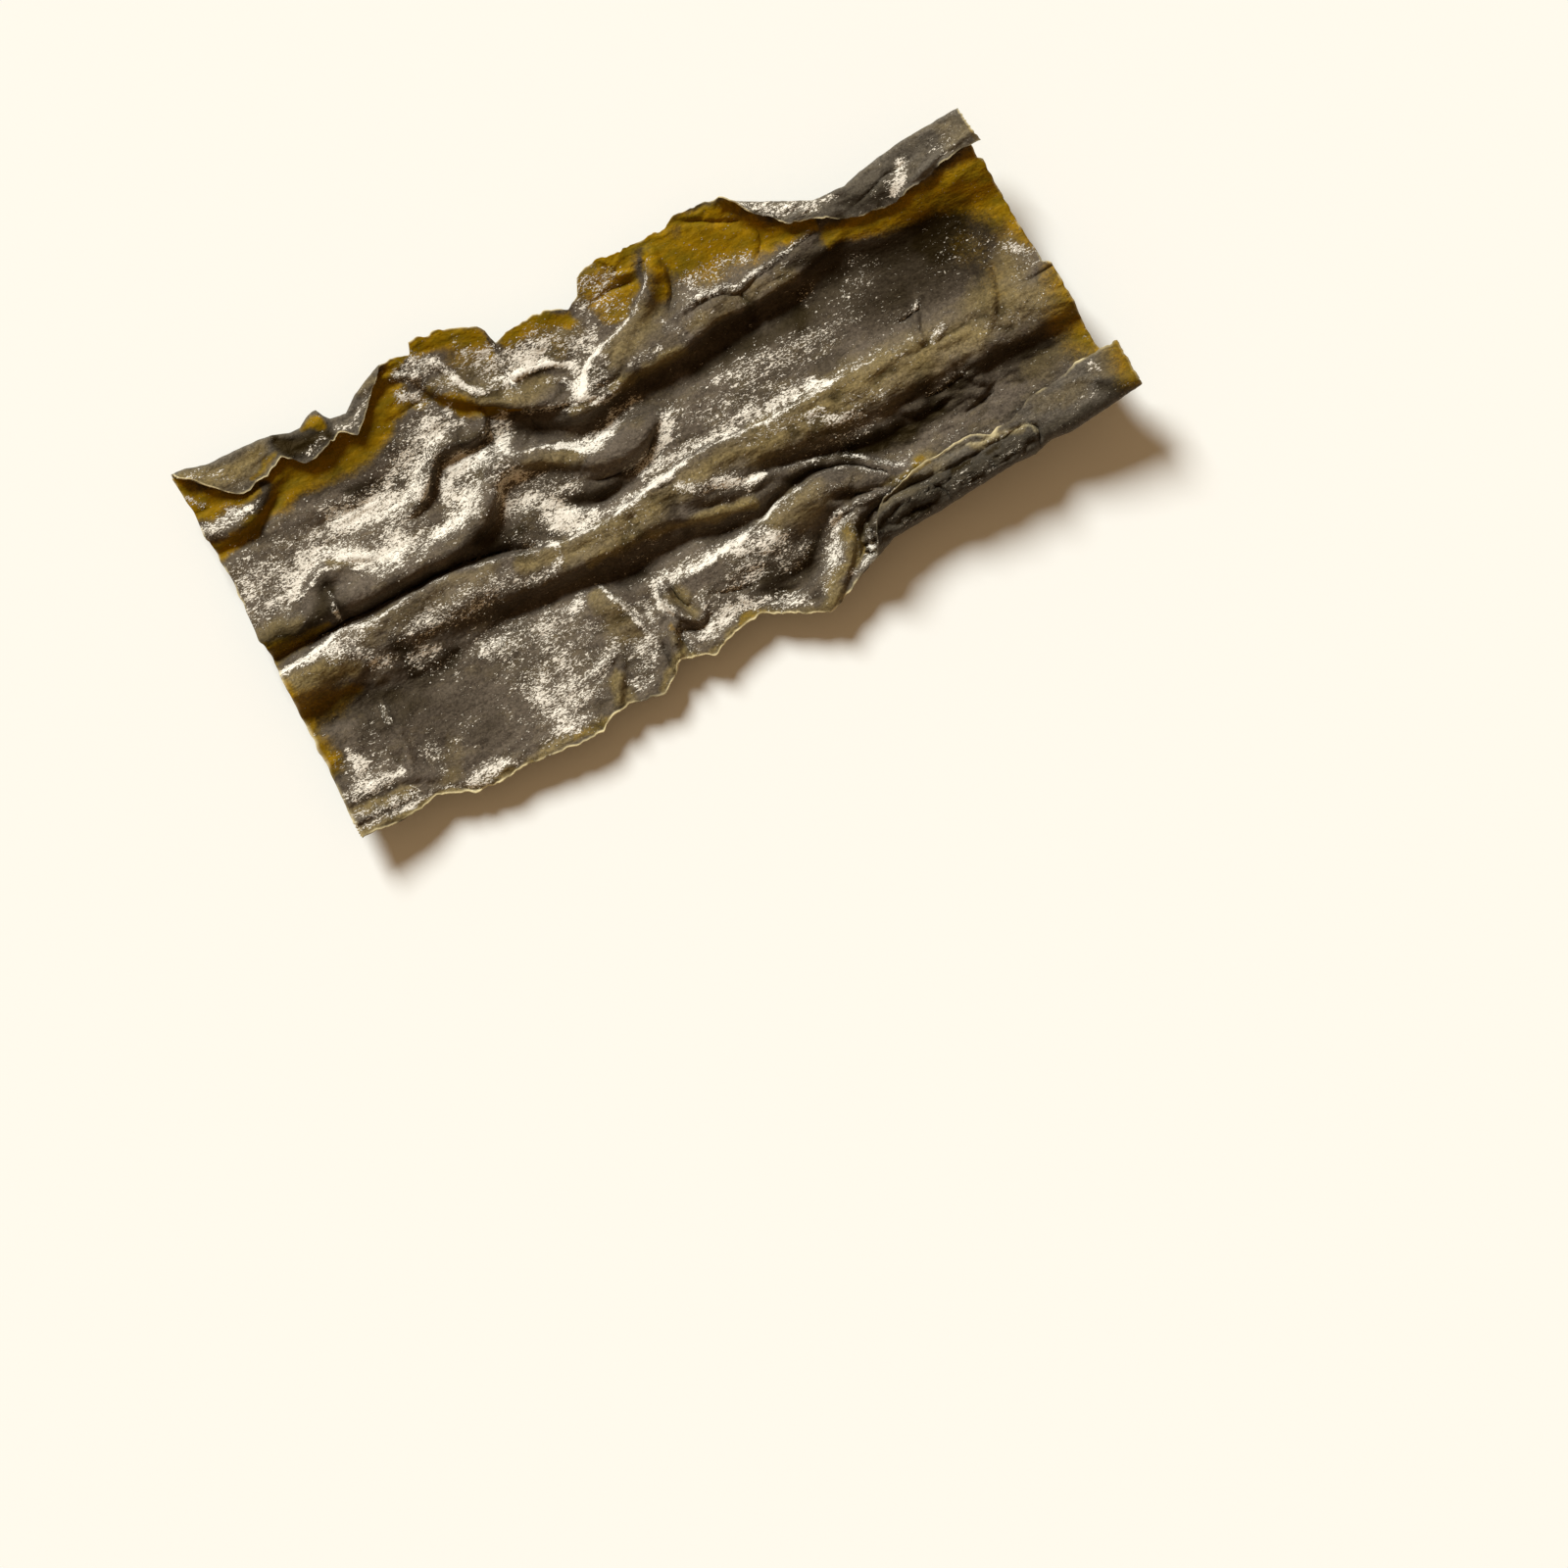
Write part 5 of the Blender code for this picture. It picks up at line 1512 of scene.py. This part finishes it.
@dataclass
class KelpSheet:
    """The whole blade: an upper skin with its rim and an underside, each of many small quads."""

    columns: int = 430
    turn_rows: int = 30
    main_rows: int = 160
    thickness: float = 0.95
    margin_thickness: float = 0.5
    margin: float = 14.0
    rim_thickness: float = 0.3
    rim_width: float = 1.2
    right_lift: Lift = Lift(8.5, 30.0, 78.0)
    left_lift: Lift = Lift(3.5, 60.0, 42.0)
    far_lift: Lift = Lift(4.0, 18.0, 32.0)
    near_lift: Lift = Lift(2.0, 22.0, 25.0)
    finish: AirDriedKelp = field(default_factory=AirDriedKelp)

    def plan(self) -> tuple[Array, Array]:
        """Lay out the grid.

        Returns:
            Shares of the way along, and places across from -1 (near free edge) to 2 (far free edge).
        """
        strip = np.linspace(0.0, 1.0, self.turn_rows + 1)[1:] ** STRIP_CROWDING
        across = np.concatenate([-strip[::-1], np.linspace(0.0, 1.0, self.main_rows + 1), 1 + strip])
        return np.meshgrid(np.linspace(0.0, 1.0, self.columns + 1), across, indexing="ij")

    def sag(self, x: Array, y: Array) -> Array:
        """Raise the ends and the long edges, and let the rest wave gently.

        Args:
            x: Places along the blade.
            y: Places across the blade.

        Returns:
            The heights.
        """
        far = self.far_lift.at(y) * (1 - FAR_SETTLES_RIGHT.at(x) - FAR_SETTLES_LEFT.at(-x))
        lifted = self.right_lift.at(x) + self.left_lift.at(-x) + far + self.near_lift.at(-y)
        swell = np.sin(x / SWELL_LENGTH + SWELL_STARTS[0]) * np.cos(y / SWELL_WIDTH + SWELL_STARTS[1])
        return lifted + layered(UNDULATION, x, y, SWELL_HEIGHT * swell)

    def crumple(self, x: Array, y: Array, folded: Array) -> Array:
        """Give the fine lengthwise wrinkles and pebbling of the dried skin, stronger where it is folded.

        Args:
            x: Places along the blade.
            y: Places across the blade.
            folded: How high the folds stand there.

        Returns:
            The heights.
        """
        crumpled = together(CRUMPLED, x, y)
        amount = 1 - CALM_SHARE * together(CALM, x, y) + CRUMPLED_SHARE * crumpled
        amount = amount * (FLAT_LEVEL + LEVEL_PER_MM * np.abs(folded))
        drifted = y + WRINKLE_DRIFT.at(x, y)
        fine = layered(WRINKLES, x, drifted) + layered(DENTS, x, y)
        return amount * fine + crumpled * (DRIFTING_CREASES.at(x, drifted) + STILL_CREASES.at(x, y))

    def middle(self) -> dict[str, Array]:
        """Work out the middle surface and what is known of each of its points.

        Returns:
            points, the plan places x and y, the heights that the folds and the crumpling add, and the
            distances to the torn and cut edges, all in millimetres, rubbed, which is the bloom on the
            crests, and turned, which says how far out on a turned strip a point is.
        """
        along, across = self.plan()
        on_sheet = np.clip(across, 0.0, 1.0)
        left = np.interp(across, END_PLACES, LEFT_END) + LEFT_CUT.at(across * BLADE_WIDTH, 0 * across)
        right = np.interp(across, END_PLACES, RIGHT_END) + RIGHT_CUT.at(across * BLADE_WIDTH, 0 * across)
        x = left + (right - left) * along
        far_hinge = FAR_EDGE.across(x, FAR_TURNS.over(x)) - FAR_TURNS.reach(x)
        near_hinge = NEAR_EDGE.across(x, NEAR_TURNS.over(x)) + NEAR_TURNS.reach(x)
        far_share, near_share = np.clip(across - 1, 0.0, 1.0), np.clip(-across, 0.0, 1.0)
        far_out, far_up = FAR_TURNS.rolled(x, far_share)
        near_out, near_up = NEAR_TURNS.rolled(x, near_share)
        y = near_hinge + (far_hinge - near_hinge) * on_sheet + far_out - near_out
        wandered = x + WANDER_ALONG.at(x, y), y + WANDER_ACROSS.at(x, y)
        shifts = sum(fold.shift(*wandered) for fold in FOLDS.values())
        rubbed = np.max([fold.whitened(*wandered) for fold in FOLDS.values()], axis=0)
        shifts[..., 2] *= 1 + UNEVEN_HEIGHT.at(x, y)
        folded = shifts[..., 2]
        crumple = self.crumple(x, y, folded)
        flat = np.stack([x, y, far_up + near_up + self.sag(x, y) + crumple], axis=-1)
        width = far_hinge - near_hinge
        far_left = (1 - far_share) * FAR_TURNS.sizes(x)[1] + (1 - on_sheet) * width
        near_left = (1 - near_share) * NEAR_TURNS.sizes(x)[1] + on_sheet * width
        return {
            "points": flat + shifts, "x": x, "y": y, "folded": folded, "crumple": crumple, "rubbed": rubbed,
            "torn": np.minimum(far_left, near_left), "cut": np.minimum(x - left, right - x),
            "turned": np.maximum(far_share, near_share),
        }

    def normals(self, points: Array) -> Array:
        """Find the middle surface's normals, which point up on the flat sheet."""
        normal = np.cross(np.gradient(points, axis=0), np.gradient(points, axis=1))
        return normal / np.linalg.norm(normal, axis=2, keepdims=True)

    def upper_maps(self, sheet: dict[str, Array]) -> dict[str, Array]:
        """Work out the maps that the finish reads on the upper face.

        Args:
            sheet: The middle surface, as middle() gives it.

        Returns:
            A value from 0 to 1 for each point, under each map's name.
        """
        x, y = sheet["x"], sheet["y"]
        # the dark map is mostly painted shade, with some darker skin
        amber, deep = together(AMBER, x, y), together(DARK_AND_SHADE, x, y)
        dusting = layered(DUSTING, x, y, DUSTING_LEVEL) - AMBER_SHEDS * amber - DEEP_SHEDS * deep
        powder = together(BLOOM, x, y, POWDER_STRAY) * layered(POWDER_UNEVEN, x, y, 1.0)
        bloom = np.maximum(powder, np.clip(dusting, 0.0, 1.0))
        # painted shade in the troughs, by how deep they sink, and in the wrinkles, lighter on amber
        trough = TROUGH_SHADE.at(-sheet["folded"]) * (1 - bloom)
        wrinkle = WRINKLE_SHADE.at(-sheet["crumple"])
        crumpled = CRUMPLED_STREAKS * together(CRUMPLED, x, y)
        return {
            "bloom": bloom, "amber": amber, "olive": together(OLIVE, x, y), "deep": deep, "under": 0 * x,
            "hollow": np.maximum(trough, wrinkle) * (1 - AMBER_LIGHTENS * amber),
            "crest": sheet["rubbed"] * (1 - OFF_FLAT.at(sheet["turned"])),
            "pressed": np.maximum(crumpled, FOLDED_STREAKS.at(np.abs(sheet["folded"]))),
            "edge": self.edge_map(sheet),
        }

    def under_maps(self, sheet: dict[str, Array]) -> dict[str, Array]:
        """Work out the same maps on the underside, which shows from above where an edge is turned over.

        Args:
            sheet: The middle surface, as middle() gives it.

        Returns:
            A value from 0 to 1 for each point, under each map's name.
        """
        x, y = sheet["x"], sheet["y"]
        strip = ON_STRIP.at(sheet["turned"])
        powder = strip * together(TURNED_BLOOM, x, y, POWDER_STRAY)
        amber = strip * together(TURNED_AMBER, x, y, TURNED_STRAY) + (1 - strip) * together(AMBER, x, y)
        crumpled = together(CRUMPLED, x, y)
        # painted highlights along the crumpled crests, laid on as bloom
        raised = UNDER_CREST_HIGHLIGHT * crumpled * UNDER_CREST.at(sheet["crumple"])
        # painted shade in the underside's wrinkles and on the far flap's shaded tongue
        wrinkle = UNDER_WRINKLE_SHADE.at(-sheet["crumple"])
        return {
            "bloom": np.maximum(powder, UNDER_DUSTING.at(x, y)), "amber": amber,
            "olive": strip * together(TURNED_PALE, x, y, TURNED_STRAY),
            "deep": strip * together(TURNED_DARK_AND_SHADE, x, y, TURNED_STRAY), "under": 1 + 0 * x,
            "hollow": np.maximum(wrinkle, strip * together(TURNED_SHADE, x, y, TURNED_STRAY)),
            "crest": np.maximum(sheet["rubbed"] * strip, raised), "pressed": crumpled,
            "edge": np.maximum(self.edge_map(sheet), together(PARTED, x, y, PARTED_STRAY)),
        }

    def edge_map(self, sheet: dict[str, Array]) -> Array:
        """Say where the pale torn or cut edge shows, which is not where the near strip is rolled in.

        Args:
            sheet: The middle surface, as middle() gives it.

        Returns:
            How pale each point is, which may run past 0 and 1.
        """
        x, y = sheet["x"], sheet["y"]
        near = (y < 0) * (x < NEAR_EDGE_ENDS)
        shown = layered(EDGE_UNEVEN, x, y, EDGE_LEVEL) + NEAR_EDGE_MORE * near
        inwards = np.minimum(sheet["torn"], sheet["cut"])
        pale = shown * (1 - smooth_step(0.0, EDGE_WIDTH + NEAR_EDGE_WIDER * near, inwards))
        rolled_in = (y < 0) * ROLLED_OUT.at(sheet["turned"]) * ROLL_BEGINS.at(x) * (1 - ROLL_ENDS.at(x))
        return pale * (1 - ROLL_HIDES * rolled_in)

    def quads(self, columns: int, rows: int) -> Array:
        """List the corner numbers of a grid's quads, turned so that they face up."""
        index = np.arange(columns * rows).reshape(columns, rows)
        corners = (index[:-1, :-1], index[1:, :-1], index[1:, 1:], index[:-1, 1:])
        return np.stack(corners, axis=-1).reshape(-1, 4)

    def rim(self, columns: int, rows: int) -> tuple[Array, Array]:
        """Find the grid's outline, and the quads that hang from it.

        Args:
            columns: Points along the grid.
            rows: Points across the grid.

        Returns:
            The numbers of the points on the outline in order, and the quads from them to as many new points,
            which follow the grid's own.
        """
        index = np.arange(columns * rows).reshape(columns, rows)
        outline = np.concatenate([index[:-1, 0], index[-1, :-1], index[:0:-1, -1], index[0, :0:-1]])
        hung = columns * rows + np.arange(len(outline))
        return outline, np.stack([hung, np.roll(hung, -1), np.roll(outline, -1), outline], axis=1)

    def settle(self, points: Array) -> Array:
        """Find how far to move the points to stand where the solid stands, down on its lowest point.

        Args:
            points: All of the sheet's points, in millimetres.

        Returns:
            The move along x, y and z.
        """
        low, high = np.array(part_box(NODE)) / MM
        shift = (low + high) / 2 - (points.min(axis=0) + points.max(axis=0)) / 2
        shift[2] = low[2] - points[:, 2].min()
        return shift

    def dress(self, name: str, points: Array, faces: Array, maps: dict[str, Array],
              material: bpy.types.Material) -> bpy.types.Object:
        """Make one piece of the sheet.

        Args:
            name: The piece's name.
            points: Its points, in millimetres.
            faces: Its quads.
            maps: A value for each point, under each map's name.
            material: Its finish.

        Returns:
            The new object.
        """
        mesh = bpy.data.meshes.new(name)
        mesh.from_pydata((points * MM).tolist(), [], faces.tolist())
        mesh.shade_smooth()
        for key, values in maps.items():
            store = mesh.attributes.new(key, "FLOAT", "POINT")
            store.data.foreach_set("value", np.clip(values, 0.0, 1.0).astype(np.float32))
        mesh.materials.append(material)
        piece = bpy.data.objects.new(name, mesh)
        bpy.context.scene.collection.objects.link(piece)
        return piece

    def build(self) -> tuple[bpy.types.Object, bpy.types.Object]:
        """Make the two faces of the sheet.

        Returns:
            The upper skin with its rim, and the underside.
        """
        sheet = self.middle()
        normal = self.normals(sheet["points"])
        torn = np.minimum(sheet["torn"], sheet["cut"])
        thinned = self.thickness - self.margin_thickness
        full = self.margin_thickness + thinned * smooth_step(0, self.margin, torn)
        half = (self.rim_thickness + (full - self.rim_thickness) * smooth_step(0, self.rim_width, torn)) / 2
        upper = (sheet["points"] + normal * half[..., None]).reshape(-1, 3)
        under = (sheet["points"] - normal * half[..., None]).reshape(-1, 3)
        shift = self.settle(np.concatenate([upper, under]))
        grid = torn.shape
        quads = self.quads(*grid)
        outline, hanging = self.rim(*grid)
        upper_maps = {key: values.ravel() for key, values in self.upper_maps(sheet).items()}
        upper_maps = {key: np.append(values, values[outline]) for key, values in upper_maps.items()}
        under_maps = {key: values.ravel() for key, values in self.under_maps(sheet).items()}
        finish = self.finish.material()
        skin = self.dress("kelp_blade", np.concatenate([upper, under[outline]]) + shift,
                          np.concatenate([quads, hanging]), upper_maps, finish)
        back = self.dress("kelp_underside", under + shift, quads[:, ::-1], under_maps, finish)
        return skin, back


@dataclass
class SaltBloom:
    """Loose crystals of dried salt, scattered as real grains, most where the bloom is thickest.

    They gather by the given power of its map. A block is as long as its size, and less wide and high.
    """

    per_square_mm: float = 2.0
    gathering: float = 2.0
    smallest_mm: float = 0.12
    largest_mm: float = 0.34
    block: tuple[float, float, float] = (1.0, 0.8, 0.65)
    seed: int = 7
    size_seed: int = 1
    finish: SaltCrystal = field(default_factory=SaltCrystal)

    def tree(self) -> Tree:
        """Build the scattering tree, with named inputs for its sizes.

        Returns:
            The tree.
        """
        tree = bpy.data.node_groups.new("salt_scatter", "GeometryNodeTree")
        sockets = {"Blade": "Geometry", "Most per square metre": "Float", "Smallest": "Float",
                   "Largest": "Float", "Seed": "Int", "Finish": "Material"}
        for name, kind in sockets.items():
            tree.interface.new_socket(name, in_out="INPUT", socket_type="NodeSocket" + kind)
        tree.interface.new_socket("Crystals", in_out="OUTPUT", socket_type="NodeSocketGeometry")
        given = add_node(tree, "NodeGroupInput").outputs
        bloom = add_node(tree, "GeometryNodeInputNamedAttribute", {"Name": "bloom"}, data_type="FLOAT")
        thick = add_node(tree, "ShaderNodeMath", (bloom.outputs[0], self.gathering),
                         operation="POWER").outputs[0]
        density = add_node(tree, "ShaderNodeMath", (thick, given["Most per square metre"]),
                           operation="MULTIPLY").outputs[0]
        spots = add_node(tree, "GeometryNodeDistributePointsOnFaces",
                         {"Mesh": given["Blade"], "Density": density, "Seed": given["Seed"]})
        turn = add_node(tree, "FunctionNodeRandomValue",
                        {0: (0.0, 0.0, 0.0), 1: (math.tau, math.tau, math.tau), "Seed": given["Seed"]},
                        data_type="FLOAT_VECTOR").outputs[0]
        size = add_node(tree, "FunctionNodeRandomValue",
                        {2: given["Smallest"], 3: given["Largest"], "Seed": self.size_seed},
                        data_type="FLOAT").outputs[1]
        block = add_node(tree, "GeometryNodeMeshCube", {"Size": self.block}).outputs[0]
        placed = add_node(tree, "GeometryNodeInstanceOnPoints", {
            "Points": spots.outputs["Points"], "Instance": block, "Rotation": turn, "Scale": size,
        })
        real = add_node(tree, "GeometryNodeRealizeInstances", (placed.outputs[0],))
        dressed = add_node(tree, "GeometryNodeSetMaterial",
                           {"Geometry": real.outputs[0], "Material": given["Finish"]})
        add_node(tree, "NodeGroupOutput", (dressed.outputs[0],))
        return tree

    def build(self, blade: bpy.types.Object) -> bpy.types.Object:
        """Scatter the crystals over the blade and make them one plain mesh.

        Args:
            blade: The sheet, with its bloom map.

        Returns:
            The crystals' own object.
        """
        tree = self.tree()
        scatter = blade.modifiers.new("salt_scatter", "NODES")
        scatter.node_group = tree
        values = {"Most per square metre": self.per_square_mm / MM**2, "Smallest": self.smallest_mm * MM,
                  "Largest": self.largest_mm * MM, "Seed": self.seed, "Finish": self.finish.material()}
        for item in tree.interface.items_tree:
            if item.name in values:
                scatter[item.identifier] = values[item.name]
        bpy.context.view_layer.update()
        finished = blade.evaluated_get(bpy.context.evaluated_depsgraph_get())
        mesh = bpy.data.meshes.new_from_object(finished)
        blade.modifiers.remove(scatter)
        mesh.name = "salt_crystals"
        crystals = bpy.data.objects.new("salt_crystals", mesh)
        bpy.context.scene.collection.objects.link(crystals)
        return crystals


# ---- Floor, light and camera ----


@dataclass
class Studio:
    """A pale floor, a soft sun from the far side, a warm dim sky, and a camera that looks straight down.

    Its sizes are in metres and radians.
    """

    view_width: float = 0.3669
    height: float = 1.8
    sensor: float = 36.0
    aim: tuple[float, float] = (-0.01214, -0.0811)
    turn: float = math.radians(-28.0)
    sun_towards: tuple[float, float] = (0.11, -0.99)
    sun_height: float = math.radians(40.0)
    sun_strength: float = 4.4
    sun_size: float = math.radians(20.0)
    sun_colour: str = "#f8fdff"
    sky: str = "#fbcf9c"
    sky_strength: float = 0.27
    floor_half: float = 3.0
    floor_gap: float = 0.0001
    finish: MattCard = field(default_factory=MattCard)

    def floor(self) -> None:
        """Lay the floor just under the sheet."""
        half, level = self.floor_half, CAD_BOUNDS[0][2] - self.floor_gap
        corners = [(-half, -half, level), (half, -half, level), (half, half, level), (-half, half, level)]
        mesh = bpy.data.meshes.new("floor")
        mesh.from_pydata(corners, [], [(0, 1, 2, 3)])
        mesh.materials.append(self.finish.material())
        floor = bpy.data.objects.new("floor", mesh)
        bpy.context.scene.collection.objects.link(floor)

    def light(self) -> None:
        """Set the sun and the sky."""
        sun = bpy.data.lights.new("sun", "SUN")
        sun.energy, sun.angle = self.sun_strength, self.sun_size
        sun.color = linear(self.sun_colour)[:3]
        lamp = bpy.data.objects.new("sun", sun)
        flat = Vector((*self.sun_towards, 0.0)).normalized() * math.cos(self.sun_height)
        beam = flat - Vector((0.0, 0.0, math.sin(self.sun_height)))
        lamp.rotation_mode = "QUATERNION"
        lamp.rotation_quaternion = beam.to_track_quat("-Z", "Y")
        bpy.context.scene.collection.objects.link(lamp)
        world = bpy.data.worlds.new("sky")
        world.use_nodes = True
        backdrop = world.node_tree.nodes["Background"]
        backdrop.inputs["Color"].default_value = linear(self.sky)
        backdrop.inputs["Strength"].default_value = self.sky_strength
        bpy.context.scene.world = world

    def camera(self) -> None:
        """Hang the camera over the sheet, turned so that the blade runs up to the right."""
        lens = bpy.data.cameras.new("camera")
        lens.sensor_width = self.sensor
        lens.lens = self.sensor * self.height / self.view_width
        camera = bpy.data.objects.new("camera", lens)
        camera.location = (*self.aim, self.height)
        camera.rotation_euler = (0.0, 0.0, self.turn)
        bpy.context.scene.collection.objects.link(camera)
        bpy.context.scene.camera = camera
        bpy.context.scene.view_settings.view_transform = "Standard"

    def build(self) -> None:
        """Set up the whole studio."""
        self.floor()
        self.light()
        self.camera()


def report(piece: bpy.types.Object) -> None:
    """Say how large a finished piece is."""
    sizes = [round(side / MM, 1) for side in piece.dimensions]
    log.info("%s: %d faces, %s mm", piece.name, len(piece.data.polygons), sizes)


def main() -> None:
    """Build the sheet, its crystals and the studio, and tie the pieces to the frame."""
    logging.basicConfig(level=logging.INFO, format="%(name)s: %(message)s")
    skin, back = KelpSheet().build()
    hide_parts(NODE)
    for piece in (skin, back, SaltBloom().build(skin)):
        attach(piece, "root")
        report(piece)
    Studio().build()


if __name__ == "__main__":
    main()
